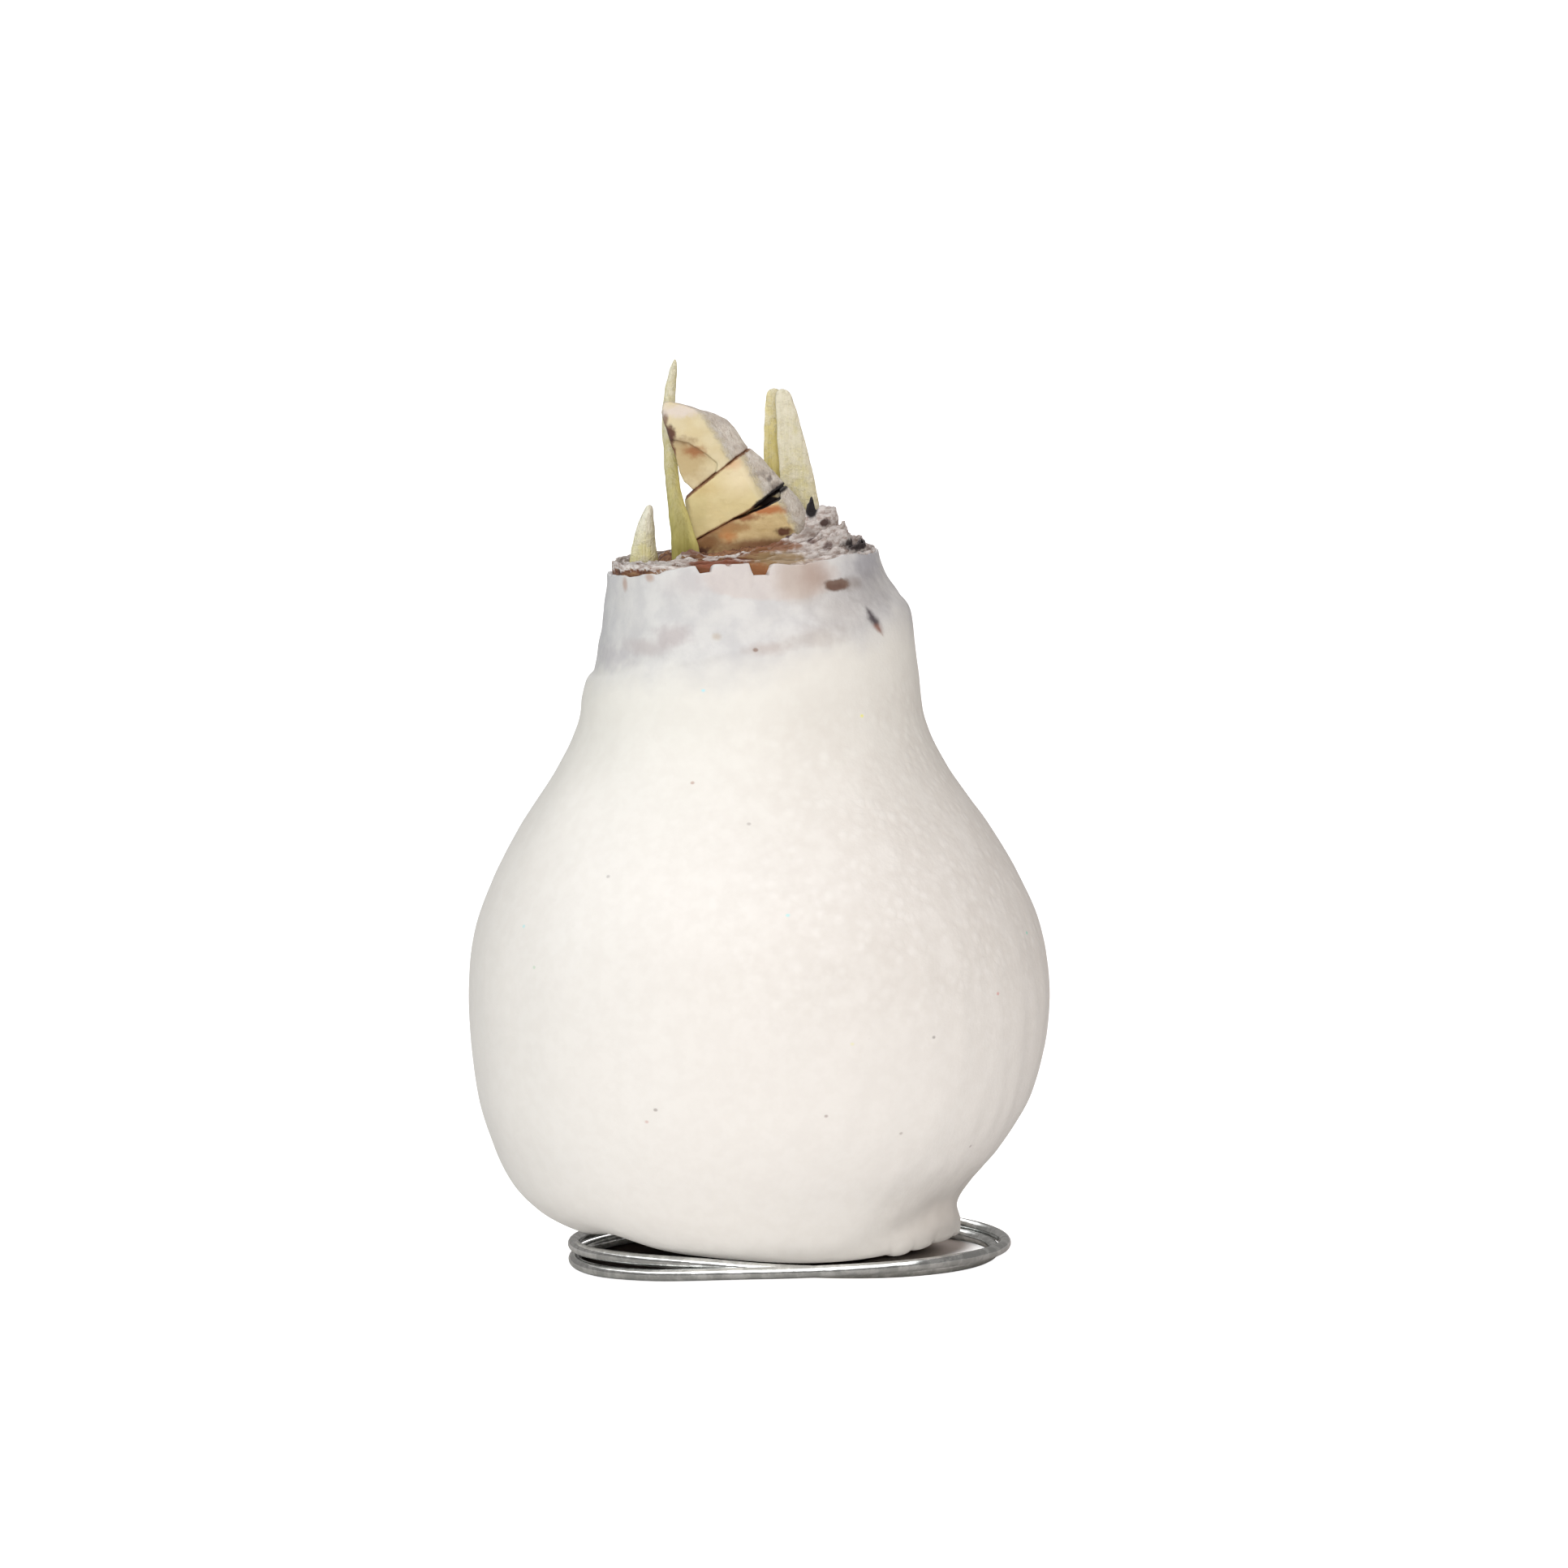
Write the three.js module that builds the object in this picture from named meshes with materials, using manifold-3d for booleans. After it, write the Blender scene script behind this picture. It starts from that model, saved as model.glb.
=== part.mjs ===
// A waxed amaryllis bulb that stands on a coil of wire and is starting to sprout.
// Millimetres, +Z up. The origin is on the table, under the middle of the bulb's widest round.
// Angles go round +Z from +X; the bulb's front is towards -Y, at 270 degrees.

import * as THREE from "three";
import { mergeVertices } from "three/addons/utils/BufferGeometryUtils.js";
import Module from "manifold-3d";

const wasm = await Module();
wasm.setup();

// ---------------------------------------------------------------- driving dimensions

const CLEARANCE = 0.3; // between touching pieces
const SEGMENTS = 64; // facets round the bulb

// The wax coat's outline, from the edge of the underside to the lip of its thick part.
// Each row is one level: radius and height on the left side, then on the right side.
const COAT_BODY = [
  [25.0, 5.4, 26.0, 2.4],
  [27.4, 5.5, 28.3, 2.6],
  [30.9, 7.0, 29.5, 4.6],
  [34.0, 9.1, 29.3, 8.0],
  [37.1, 12.7, 31.5, 11.7],
  [40.1, 18.9, 35.9, 17.2],
  [42.1, 26.0, 40.2, 24.6],
  [43.0, 37.0, 43.0, 36.5],
  [42.4, 47.7, 42.4, 46.6],
  [39.8, 56.2, 39.9, 54.5],
  [35.0, 65.2, 34.9, 63.6],
  [29.0, 74.2, 28.8, 73.0],
  [25.9, 80.6, 25.4, 80.4],
  [25.3, 85.0, 24.6, 88.5],
  [24.7, 87.3, 23.4, 96.9],
];
// The thin dip of wax on the neck, from the foot of the lip to the rim, in the same way.
const COAT_NECK = [
  [23.2, 88.0, 21.9, 98.7],
  [22.4, 92.0, 20.7, 100.8],
  [21.5, 98.0, 19.6, 103.0],
  [21.1, 103.0, 19.0, 105.1],
];
const COAT_WALL = 1.5;
const UNDERSIDE_HEIGHT = 4.7; // at the middle
const LIP_DRAWN_IN = 0.9; // at the front and back
const RIM_RAGGED = 0.45; // how far the rim wanders up and down
const RIM_EDGE_DROP = 0.15; // the rim slopes in by this much

// Where the underside's edge arches up off the coil and where it sinks into it. Headings and
// spreads here and below are in degrees.
const ARCH = { heading: 226, spread: 19, height: 1.9 };
const SAG = { heading: 285, spread: 32, depth: 0.6 };
// The knobs of the root stubs: full within one angle of the heading and gone at the other,
// spaced to count out a whole turn. The hollow above them sits at a level of the outline.
const STUBS = { heading: 334, full: 28, gone: 42, count: 15, swell: 0.4, knob: 0.5 };
const STUB_HOLLOW = { heading: 318, spread: 26, level: 2.7, reach: 0.7 };

const NECK_X = -0.8; // the neck leans this far to the left
const NECK_BORE = 19.3; // radius of the coat inside the neck
const SHOULDER_HEIGHT = 93.6; // where the bulb's flesh steps in to the neck
const NECK_FLESH = 13.1; // radius of the flesh inside the skins
const FLESH_TOP = 105.2; // at the axis
const FLESH_SLOPE = 0.1; // rise of the cut neck for each millimetre to the right
const FLESH_EDGE_DROP = 0.5; // the cut neck's rounded edge

const WIRE_RADIUS = 0.9;
const WIRE_SIDES = 8;
const RING_X = 3.6; // the coil stands this far to the right of the bulb's axis
const PRONG_TOP = 34;
const PRONG_HOLE = 1.4; // radius
const PRONG_ROOM = 1; // between the prong's end and the end of its hole
const SPOKE_BEND = 6; // bend radius where the wire leaves the coil
const SPOKE_HEADING = 165.7; // where that bend ends, with the wire aimed at the axis
const PRONG_BEND = 4; // bend radius at the foot of the prong
const SPOKE_RISE = 0.5; // the spoke lifts off the table by this much at the middle

// ---------------------------------------------------------------- shared functions

const radians = THREE.MathUtils.degToRad;
const { lerp, smoothstep } = THREE.MathUtils;

// A point at a radius and an angle about a centre on the X axis.
function polar(centreX, radius, angle, height) {
  return new THREE.Vector3(centreX + radius * Math.cos(angle), radius * Math.sin(angle), height);
}

// How far an angle lies from a heading, in degrees, the short way round.
function degreesFrom(angle, heading) {
  const turned = THREE.MathUtils.radToDeg(angle) - heading;
  return Math.abs(THREE.MathUtils.euclideanModulo(turned + 180, 360) - 180);
}

// A bell-shaped lobe round a heading, 1 at its middle.
function lobe(angle, { heading, spread }) {
  return Math.exp(-((degreesFrom(angle, heading) / spread) ** 2));
}

// A torn edge's ups and downs, between about -1 and 1, that closes after a full turn.
function ragged(angle, seed) {
  const waves = [
    [5, 0.34],
    [11, 0.3],
    [19, 0.24],
    [31, 0.2],
  ];
  return waves.reduce((sum, [count, size]) => sum + size * Math.sin(count * (angle + seed)), 0);
}

// A closed solid from rows of points, each row one loop. Either the last row joins the
// first, as on a ring, or both ends are closed by a fan.
function loftRows(rows, joinsItself = false) {
  const around = rows[0].length;
  const points = rows.flat();
  const faces = [];
  const bands = joinsItself ? rows.length : rows.length - 1;
  for (let band = 0; band < bands; band += 1) {
    const low = band * around;
    const high = ((band + 1) % rows.length) * around;
    for (let side = 0; side < around; side += 1) {
      const next = (side + 1) % around;
      faces.push([low + side, low + next, high + next]);
      faces.push([low + side, high + next, high + side]);
    }
  }
  if (!joinsItself) {
    const last = (rows.length - 1) * around;
    const middle = (row) =>
      row.reduce((sum, p) => sum.add(p), new THREE.Vector3()).divideScalar(around);
    const start = points.push(middle(rows[0])) - 1;
    const end = points.push(middle(rows.at(-1))) - 1;
    for (let side = 0; side < around; side += 1) {
      const next = (side + 1) % around;
      faces.push([start, next, side]);
      faces.push([end, last + side, last + next]);
    }
  }
  const geometry = new THREE.BufferGeometry();
  const numbers = points.flatMap((p) => p.toArray());
  geometry.setAttribute("position", new THREE.Float32BufferAttribute(numbers, 3));
  geometry.setIndex(faces.flat());
  return facingOut(geometry);
}

// Turns the faces round if they point inwards.
function facingOut(geometry) {
  const position = geometry.getAttribute("position");
  const index = geometry.getIndex();
  const corners = [new THREE.Vector3(), new THREE.Vector3(), new THREE.Vector3()];
  let volume = 0;
  for (let face = 0; face < index.count; face += 3) {
    corners.forEach((corner, i) => corner.fromBufferAttribute(position, index.getX(face + i)));
    volume += corners[0].dot(corners[1].clone().cross(corners[2]));
  }
  if (volume < 0) {
    for (let face = 0; face < index.count; face += 3) {
      const first = index.getX(face);
      index.setX(face, index.getX(face + 1));
      index.setX(face + 1, first);
    }
  }
  return geometry;
}

function toSolid(geometry) {
  const bare = geometry.clone();
  bare.deleteAttribute("normal");
  bare.deleteAttribute("uv");
  const merged = mergeVertices(bare, 1e-5);
  return new wasm.Manifold(
    new wasm.Mesh({
      numProp: 3,
      vertProperties: new Float32Array(merged.getAttribute("position").array),
      triVerts: new Uint32Array(merged.getIndex().array),
    }),
  );
}

function toGeometry(solid) {
  const mesh = solid.getMesh();
  const geometry = new THREE.BufferGeometry();
  geometry.setAttribute("position", new THREE.Float32BufferAttribute(mesh.vertProperties, 3));
  geometry.setIndex(Array.from(mesh.triVerts));
  return geometry;
}

// ---------------------------------------------------------------- wire stand

// The coil's turns: angle, radius of the turn, height of the wire's middle. The first turn
// starts flat at the back and climbs; the second drops at the front and ends flat again.
// The turns pass each other at the front, one outside the other.
const COIL = [
  [98, 31.8, 0.9],
  [150, 31.9, 0.9],
  [200, 31.9, 0.9],
  [230, 32.2, 1.6],
  [262, 32.8, 2.6],
  [310, 32.8, 2.8],
  [360, 32.8, 2.7],
  [405, 32.4, 2.9],
  [450, 31.9, 3.2],
  [500, 31.9, 3.65],
  [550, 31.9, 4.2],
  [580, 31.6, 4.1],
  [605, 30.9, 3.75],
  [630, 30.7, 2.75],
  [660, 30.7, 1.7],
  [690, 30.9, 1.0],
  [720, 31.2, 0.9],
  [755, 31.3, 0.9],
  [790, 31.2, 0.9],
];
const COIL_STEP = 12; // degrees between the points of the path

function wirePath() {
  const keys = COIL.map(([angle, radius, height]) => new THREE.Vector3(angle, radius, height));
  const unrolled = new THREE.CatmullRomCurve3(keys);
  const path = [];
  const steps = (COIL.at(-1)[0] - COIL[0][0]) / COIL_STEP;
  unrolled.getSpacedPoints(steps).forEach(({ x, y, z }) => {
    path.push(polar(RING_X, y, radians(x), Math.max(z, WIRE_RADIUS)));
  });

  // The bend inwards, then the spoke to the middle.
  const bendStart = COIL.at(-1)[0] % 360;
  const hub = path.at(-1).clone().sub(polar(0, SPOKE_BEND, radians(bendStart), 0));
  for (let step = 1; step <= 5; step += 1) {
    const angle = radians(lerp(bendStart, SPOKE_HEADING, step / 5));
    path.push(hub.clone().add(polar(0, SPOKE_BEND, angle, 0)));
  }
  const spoke = path.at(-1).clone().setZ(0);
  path.push(spoke.clone().multiplyScalar(0.5).setZ(WIRE_RADIUS + SPOKE_RISE / 2));
  spoke.normalize();

  // The bend up on to the axis, and the prong.
  for (let step = 0; step <= 4; step += 1) {
    const turn = (Math.PI / 2) * (step / 4);
    const away = PRONG_BEND * (1 - Math.sin(turn));
    const height = WIRE_RADIUS + SPOKE_RISE + PRONG_BEND * (1 - Math.cos(turn));
    path.push(spoke.clone().multiplyScalar(away).setZ(height));
  }
  path.push(new THREE.Vector3(0, 0, PRONG_TOP / 2), new THREE.Vector3(0, 0, PRONG_TOP));
  return path;
}

// A smooth curve that is stepped evenly from point to point, so that its tight bends, where
// the points lie close, get as many steps as a long stretch.
class PointwiseCurve extends THREE.CatmullRomCurve3 {
  getPointAt(u, target) {
    return this.getPoint(u, target);
  }

  getTangentAt(u, target) {
    return this.getTangent(u, target);
  }
}

function makeWireStand() {
  const section = new THREE.Shape();
  const cornerRadius = WIRE_RADIUS / Math.cos(Math.PI / WIRE_SIDES);
  for (let side = 0; side < WIRE_SIDES; side += 1) {
    const angle = (Math.PI * (2 * side + 1)) / WIRE_SIDES;
    const corner = [cornerRadius * Math.cos(angle), cornerRadius * Math.sin(angle)];
    if (side === 0) section.moveTo(...corner);
    else section.lineTo(...corner);
  }
  const path = wirePath();
  const curve = new PointwiseCurve(path);
  const steps = 2 * (path.length - 1);
  return new THREE.ExtrudeGeometry(section, { steps, extrudePath: curve, bevelEnabled: false });
}

// ---------------------------------------------------------------- wax coat and bulb

// One side of an outline as a curve, from its rows. The side is 0 for left, 1 for right.
function sideCurve(rows, side) {
  const points = rows.map((row) => new THREE.Vector3(row[2 * side], row[2 * side + 1], 0));
  return new THREE.CatmullRomCurve3(points);
}

const bodyCurves = [0, 1].map((side) => sideCurve(COAT_BODY, side));
const neckCurves = [0, 1].map((side) => sideCurve(COAT_NECK, side));

// A point of the body at an angle, at a level and set in by a wall. The level counts up the
// rows of the outline, from 0 at the underside to the last row at the lip.
const LIP = COAT_BODY.length - 1;
function bodyPoint(angle, level, inset) {
  const [left, right] = bodyCurves.map((curve) => {
    const point = curve.getPoint(level / LIP);
    const along = curve.getTangent(level / LIP);
    return { radius: point.x - inset * along.y, height: point.y + inset * along.x };
  });
  const toRight = (1 + Math.cos(angle)) / 2;
  const lowDown = 1 - smoothstep(level, 0.5, 4.5);
  const lift = (ARCH.height * lobe(angle, ARCH) - SAG.depth * lobe(angle, SAG)) * lowDown;
  const stubs = inset > 0 ? 0 : rootStubs(angle, level);
  const lip = LIP_DRAWN_IN * Math.sin(angle) ** 2 * smoothstep(level, LIP - 2, LIP);
  const radius = lerp(left.radius, right.radius, toRight) + stubs - lip;
  return polar(0, radius, angle, lerp(left.height, right.height, toRight) + lift);
}

// The stubs of the cut roots, sunk in wax, which knob the base at the right and front right,
// and the hollow that the wax makes above them.
function rootStubs(angle, level) {
  const stretch = 1 - smoothstep(degreesFrom(angle, STUBS.heading), STUBS.full, STUBS.gone);
  const lowDown = 1 - smoothstep(level, 1.6, 3);
  const knobs = STUBS.swell + STUBS.knob * Math.sin(STUBS.count * angle);
  const upCoat = Math.exp(-(((level - STUB_HOLLOW.level) / STUB_HOLLOW.reach) ** 2));
  return stretch * knobs * lowDown - lobe(angle, STUB_HOLLOW) * upCoat;
}

function neckPoint(angle, share) {
  const [left, right] = neckCurves.map((curve) => curve.getPoint(share));
  const toRight = (1 + Math.cos(angle)) / 2;
  const rim = RIM_RAGGED * ragged(angle, 2.1) * smoothstep(share, 0.7, 1);
  return polar(0, lerp(left.x, right.x, toRight), angle, lerp(left.y, right.y, toRight) + rim);
}

// A ring of points round the axis.
function row(pointAt) {
  return Array.from({ length: SEGMENTS }, (_, i) => pointAt((2 * Math.PI * i) / SEGMENTS));
}

// The underside, from the prong's hole out to the body's edge, set in by a wall.
function undersideRows(inset) {
  const edge = row((angle) => bodyPoint(angle, 0, inset));
  return [0, 0.5, 0.88].map((share) =>
    edge.map((corner, i) => {
      const angle = (2 * Math.PI * i) / SEGMENTS;
      const radius = lerp(PRONG_HOLE, Math.hypot(corner.x, corner.y), share);
      const middle = UNDERSIDE_HEIGHT + inset;
      return polar(0, radius, angle, lerp(middle, corner.z, share ** 2));
    }),
  );
}

function bodyRows(levels, inset) {
  return levels.map((level) => row((angle) => bodyPoint(angle, level, inset)));
}

// The skin under the coat narrows smoothly from the body to the neck.
const SKIN_TOP = 11.8; // the level where the neck begins
const BODY_LEVELS = Array.from({ length: 25 }, (_, i) => (LIP * i) / 24);
const SKIN_LEVELS = [0, 0.7, 1.3, 2, 3, 4, 5.3, 6.7, 8.2, 10, SKIN_TOP];
function throatRows(inset) {
  const start = row((angle) => bodyPoint(angle, SKIN_TOP, COAT_WALL + inset));
  const end = row((angle) => polar(NECK_X, NECK_BORE - inset, angle, SHOULDER_HEIGHT - inset));
  return [0.35, 0.7, 1].map((share) => start.map((point, i) => point.clone().lerp(end[i], share)));
}

function makeWaxCoat() {
  const outside = [
    ...undersideRows(0),
    ...bodyRows(BODY_LEVELS, 0),
    ...[0, 0.3, 0.65, 0.97, 1].map((share) => row((angle) => neckPoint(angle, share))),
  ];
  const inside = [
    ...undersideRows(COAT_WALL),
    ...bodyRows(SKIN_LEVELS, COAT_WALL),
    ...throatRows(0),
    row((angle) => polar(NECK_X, NECK_BORE, angle, neckPoint(angle, 1).z - RIM_EDGE_DROP)),
  ];
  return loftRows([...outside, ...inside.reverse()], true);
}

function fleshTop(x) {
  return FLESH_TOP + FLESH_SLOPE * x;
}

function makeBulb() {
  const inset = COAT_WALL + CLEARANCE;
  const rows = [
    row((angle) => polar(0, PRONG_HOLE, angle, PRONG_TOP + PRONG_ROOM)),
    ...undersideRows(inset),
    ...bodyRows(SKIN_LEVELS, inset),
    ...throatRows(CLEARANCE),
    row((angle) => polar(NECK_X, NECK_FLESH, angle, SHOULDER_HEIGHT - CLEARANCE)),
    ...[1, 0.93, 0.5, 0.15].map((share) =>
      row((angle) => {
        const point = polar(NECK_X, NECK_FLESH * share, angle, 0);
        return point.setZ(fleshTop(point.x) - (share === 1 ? FLESH_EDGE_DROP : 0));
      }),
    ),
  ];
  return loftRows(rows);
}

// ---------------------------------------------------------------- papery skins of the neck

// Each torn skin: its outer radius, its mean height, and how much higher it stands on the
// right than in the middle.
const SKINS = [
  { radius: 19.0, height: 105.0, rise: 0.8, seed: 0.4 },
  { radius: 17.5, height: 105.3, rise: 1.2, seed: 1.7 },
  { radius: 15.9, height: 105.9, rise: 1.7, seed: 3.2 },
  { radius: 14.4, height: 107.0, rise: 2.9, seed: 5.0 },
];
const SKIN_THICKNESS = 0.75;
const SKIN_GROOVE = 2.2; // depth between two skins
const SKIN_RAGGED = 0.5;
const SKIN_EDGE_DROP = 0.2; // a skin's edge slopes in by this much
const SKIN_FOOT = 3; // how far below the flesh's top the innermost groove ends

function skinTop(skin, angle) {
  return skin.height + skin.rise * Math.cos(angle) + SKIN_RAGGED * ragged(angle, skin.seed);
}

function makeNeckTunics() {
  const bottom = SHOULDER_HEIGHT + CLEARANCE;
  const inner = NECK_FLESH + CLEARANCE;
  const rows = [row((angle) => polar(NECK_X, SKINS[0].radius, angle, bottom))];
  SKINS.forEach((skin, i) => {
    const top = (angle) => skinTop(skin, angle);
    rows.push(row((angle) => polar(NECK_X, skin.radius, angle, top(angle))));
    const hollow = skin.radius - SKIN_THICKNESS;
    rows.push(row((angle) => polar(NECK_X, hollow, angle, top(angle) - SKIN_EDGE_DROP)));
    if (i + 1 < SKINS.length) {
      const middle = (hollow + SKINS[i + 1].radius) / 2;
      rows.push(row((angle) => polar(NECK_X, middle, angle, top(angle) - SKIN_GROOVE)));
    }
  });
  rows.push(row((angle) => polar(NECK_X, inner, angle, FLESH_TOP - SKIN_FOOT)));
  rows.push(row((angle) => polar(NECK_X, inner, angle, bottom)));
  return loftRows(rows, true);
}

// ---------------------------------------------------------------- young leaves

// A leaf: the points of its midline from the root up, with its half width at each, its
// half thickness, the way its blade is turned and how much it is cupped.
const LEAVES = {
  leaf_left: {
    midline: [
      [-15.0, -3.0, 99.5, 2.4],
      [-15.0, -3.0, 104.5, 2.4],
      [-14.9, -3.0, 107.0, 1.8],
      [-14.8, -2.9, 109.5, 1.1],
      [-14.8, -2.8, 112.7, 0.35],
    ],
    halfThickness: 0.8,
    turned: 4,
    cup: 0.5,
  },
  leaf_mid: {
    midline: [
      [-9.3, -8.9, 99.5, 2.1],
      [-9.3, -8.9, 105.6, 2.1],
      [-9.7, -8.6, 109.0, 1.75],
      [-10.9, -5.5, 115.0, 1.1],
      [-11.2, -1.4, 119.8, 0.95],
      [-11.2, 1.2, 124.5, 0.9],
      [-10.9, 2.2, 129.0, 0.75],
      [-10.3, 2.6, 134.0, 0.35],
    ],
    halfThickness: 0.55,
    turned: -6,
    cup: 0.35,
  },
  leaf_right_inner: {
    midline: [
      [5.2, 5.8, 99.5, 2.6],
      [5.2, 5.8, 106.4, 2.6],
      [4.8, 5.8, 112.0, 2.5],
      [4.5, 5.7, 119.0, 2.1],
      [4.2, 5.6, 124.5, 1.5],
      [4.2, 5.5, 129.0, 0.7],
    ],
    halfThickness: 0.6,
    turned: 8,
    cup: -0.3,
  },
  leaf_right_outer: {
    midline: [
      [7.7, 3.9, 99.5, 3.2],
      [7.7, 3.9, 106.4, 3.2],
      [7.7, 3.9, 111.0, 2.9],
      [7.2, 3.9, 116.5, 2.5],
      [6.2, 3.8, 124.0, 1.7],
      [5.2, 3.7, 129.2, 0.7],
    ],
    halfThickness: 0.65,
    turned: 8,
    cup: -0.3,
  },
};
const LEAF_SIDES = 12;
const LEAF_STATIONS = 12;
const POCKET_MARGIN = 0.45; // all round a leaf's root
const POCKET_HEIGHT = 20; // out through the top of the neck

// A blade as a stack of level, cupped ovals along its midline, wider by a margin all round.
function makeBlade({ midline, halfThickness, turned, cup }, margin = 0) {
  const curve = (toPoint) => new THREE.CatmullRomCurve3(midline.map(toPoint));
  const spine = curve(([x, y, z]) => new THREE.Vector3(x, y, z));
  const widths = curve(([, , z, half]) => new THREE.Vector3(half, 0, z));
  const facing = radians(turned);
  const rows = [];
  for (let station = 0; station <= LEAF_STATIONS; station += 1) {
    const share = station / LEAF_STATIONS;
    const middle = spine.getPoint(share);
    const halfWidth = widths.getPoint(share).x + margin;
    const half = Math.min(halfThickness + margin, halfWidth);
    rows.push(
      Array.from({ length: LEAF_SIDES }, (_, i) => {
        const around = (2 * Math.PI * i) / LEAF_SIDES;
        const across = halfWidth * Math.cos(around);
        const through = half * Math.sin(around) + cup * Math.cos(around) ** 2;
        const x = across * Math.cos(facing) - through * Math.sin(facing);
        const y = across * Math.sin(facing) + through * Math.cos(facing);
        return middle.clone().add(new THREE.Vector3(x, y, 0));
      }),
    );
  }
  return loftRows(rows);
}

// The pocket that a leaf stands in: its root's section, straight up through the neck.
function makePocket(leaf) {
  const [x, y, bottom, half] = leaf.midline[0];
  const straight = [
    [x, y, bottom - CLEARANCE, half],
    [x, y, bottom + POCKET_HEIGHT, half],
  ];
  return makeBlade({ ...leaf, midline: straight }, POCKET_MARGIN);
}

// ---------------------------------------------------------------- cut leaf bases

// The stack is one leaning horn, split by two slanting cuts. Each level of the horn: its
// height, its left and right edge, and its back.
const HORN = [
  [104.2, -11.0, 9.8, 2.0],
  [107.5, -9.6, 9.9, 2.1],
  [110.5, -9.2, 9.2, 2.1],
  [113.5, -9.2, 7.4, 1.9],
  [116.5, -9.6, 4.6, 1.5],
  [119.2, -10.3, 2.4, 0.8],
  [121.6, -11.0, -0.3, -0.2],
  [123.6, -11.6, -1.4, -1.2],
  [125.2, -12.1, -2.8, -2.0],
  [126.6, -12.4, -5.6, -2.8],
  [127.6, -12.3, -8.8, -3.2],
  [128.2, -12.0, -10.8, -3.6],
];
const HORN_FRONT = -6.2; // the flat, cut face
const HORN_MIDDLE = -4.2; // the depth at which the horn is widest
const HORN_OVERRUN = 1.5; // past the cut face, before that is cut
const HORN_SIDES = 28;
// The section's curve: below 1 it is fuller than an oval, across and from front to back.
const HORN_FULLNESS = { across: 0.7, through: 0.8 };

// The cuts, as points across the horn: x, and the height of the cut's upper wall.
const LOW_CUT = [
  [-13, 105.0],
  [-8.5, 107.6],
  [-2.6, 110.7],
  [0.5, 112.3],
  [4.3, 114.8],
  [12, 119.5],
];
const TOP_CUT = [
  [-14, 110.4],
  [-7.6, 115.4],
  [-2.1, 119.6],
  [4, 123.4],
];
const CUT_WIDTH = 0.4;
// The dark split where the low cut gapes, as an outline in X and Z.
const SPLIT = [
  [-2.4, 110.5],
  [-0.5, 110.9],
  [2.6, 112.4],
  [4.9, 113.6],
  [4.7, 115.6],
  [0.5, 112.9],
];
const SPLIT_DEPTH = 4;
// The hollow under the hood, and the notch below its left corner, in the same way.
const HOOD_HOLLOW = [
  [-13.5, 122.2],
  [-10.6, 122.6],
  [-8.3, 122.0],
  [-6.0, 120.4],
  [-4.2, 118.9],
  [-5.5, 116.0],
  [-13.5, 110.0],
];
const HOLLOW_DEPTH = 1.6;
const HOOD_NOTCH = [
  [-13.5, 119.5],
  [-10.2, 118.6],
  [-9.4, 116.4],
  [-7.9, 115.0],
  [-13.5, 110.6],
];

function makeHorn() {
  const full = (value, power) => Math.sign(value) * Math.abs(value) ** power;
  const forward = HORN_MIDDLE - HORN_FRONT + HORN_OVERRUN;
  const rows = HORN.map(([height, left, right, back]) => {
    const middle = (left + right) / 2;
    const halfWidth = (right - left) / 2;
    return Array.from({ length: HORN_SIDES }, (_, i) => {
      const angle = (2 * Math.PI * i) / HORN_SIDES;
      const depth = Math.sin(angle) > 0 ? back - HORN_MIDDLE : forward;
      return new THREE.Vector3(
        middle + halfWidth * full(Math.cos(angle), HORN_FULLNESS.across),
        HORN_MIDDLE + depth * full(Math.sin(angle), HORN_FULLNESS.through),
        height,
      );
    });
  });
  return toSolid(loftRows(rows));
}

// A prism through an outline in X and Z, between two depths.
function prism(outline, nearY, farY) {
  const shape = new THREE.Shape(outline.map(([x, z]) => new THREE.Vector2(x, z)));
  const geometry = new THREE.ExtrudeGeometry(shape, { depth: farY - nearY, bevelEnabled: false });
  geometry.rotateX(Math.PI / 2);
  geometry.translate(0, farY, 0);
  return toSolid(geometry);
}

function makeCutBases() {
  const far = 30; // these three lie outside the horn on every side
  const floor = [[-far, 90], [far, 90]];
  const ceiling = [[far, 140], [-far, 140]];
  const above = (wall) => prism([...wall, ...ceiling], -far, far);
  const below = (cut) => {
    const wall = cut.map(([x, z]) => [x, z - CUT_WIDTH]);
    return prism([...floor, ...wall.reverse()], -far, far);
  };
  const horn = makeHorn().subtract(prism([...floor, ...ceiling], -far, HORN_FRONT));
  const split = prism(SPLIT, -far, HORN_FRONT + SPLIT_DEPTH);
  const seat = [-far, far].map((x) => [x, fleshTop(x) + CLEARANCE]);
  const hollow = prism(HOOD_HOLLOW, -far, HORN_FRONT + HOLLOW_DEPTH);
  const notch = prism(HOOD_NOTCH, -far, far);
  return {
    cut_base_low: horn.intersect(above(seat)).intersect(below(LOW_CUT)).subtract(split),
    cut_base_mid: horn.intersect(above(LOW_CUT)).intersect(below(TOP_CUT)),
    cut_base_top: horn.intersect(above(TOP_CUT)).subtract(hollow).subtract(notch),
  };
}

// ---------------------------------------------------------------- assembly

const MATERIALS = {
  wax: { color: 0xf6f2ec, roughness: 0.45, metalness: 0 },
  flesh: { color: 0xd9c79a, roughness: 0.7, metalness: 0 },
  skin: { color: 0x8a5a3c, roughness: 0.85, metalness: 0 },
  leaf: { color: 0xc9c77c, roughness: 0.6, metalness: 0 },
  cut: { color: 0xe3cf9d, roughness: 0.7, metalness: 0 },
  wire: { color: 0xd8dadb, roughness: 0.2, metalness: 1 },
};

const amaryllis = new THREE.Group();

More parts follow.
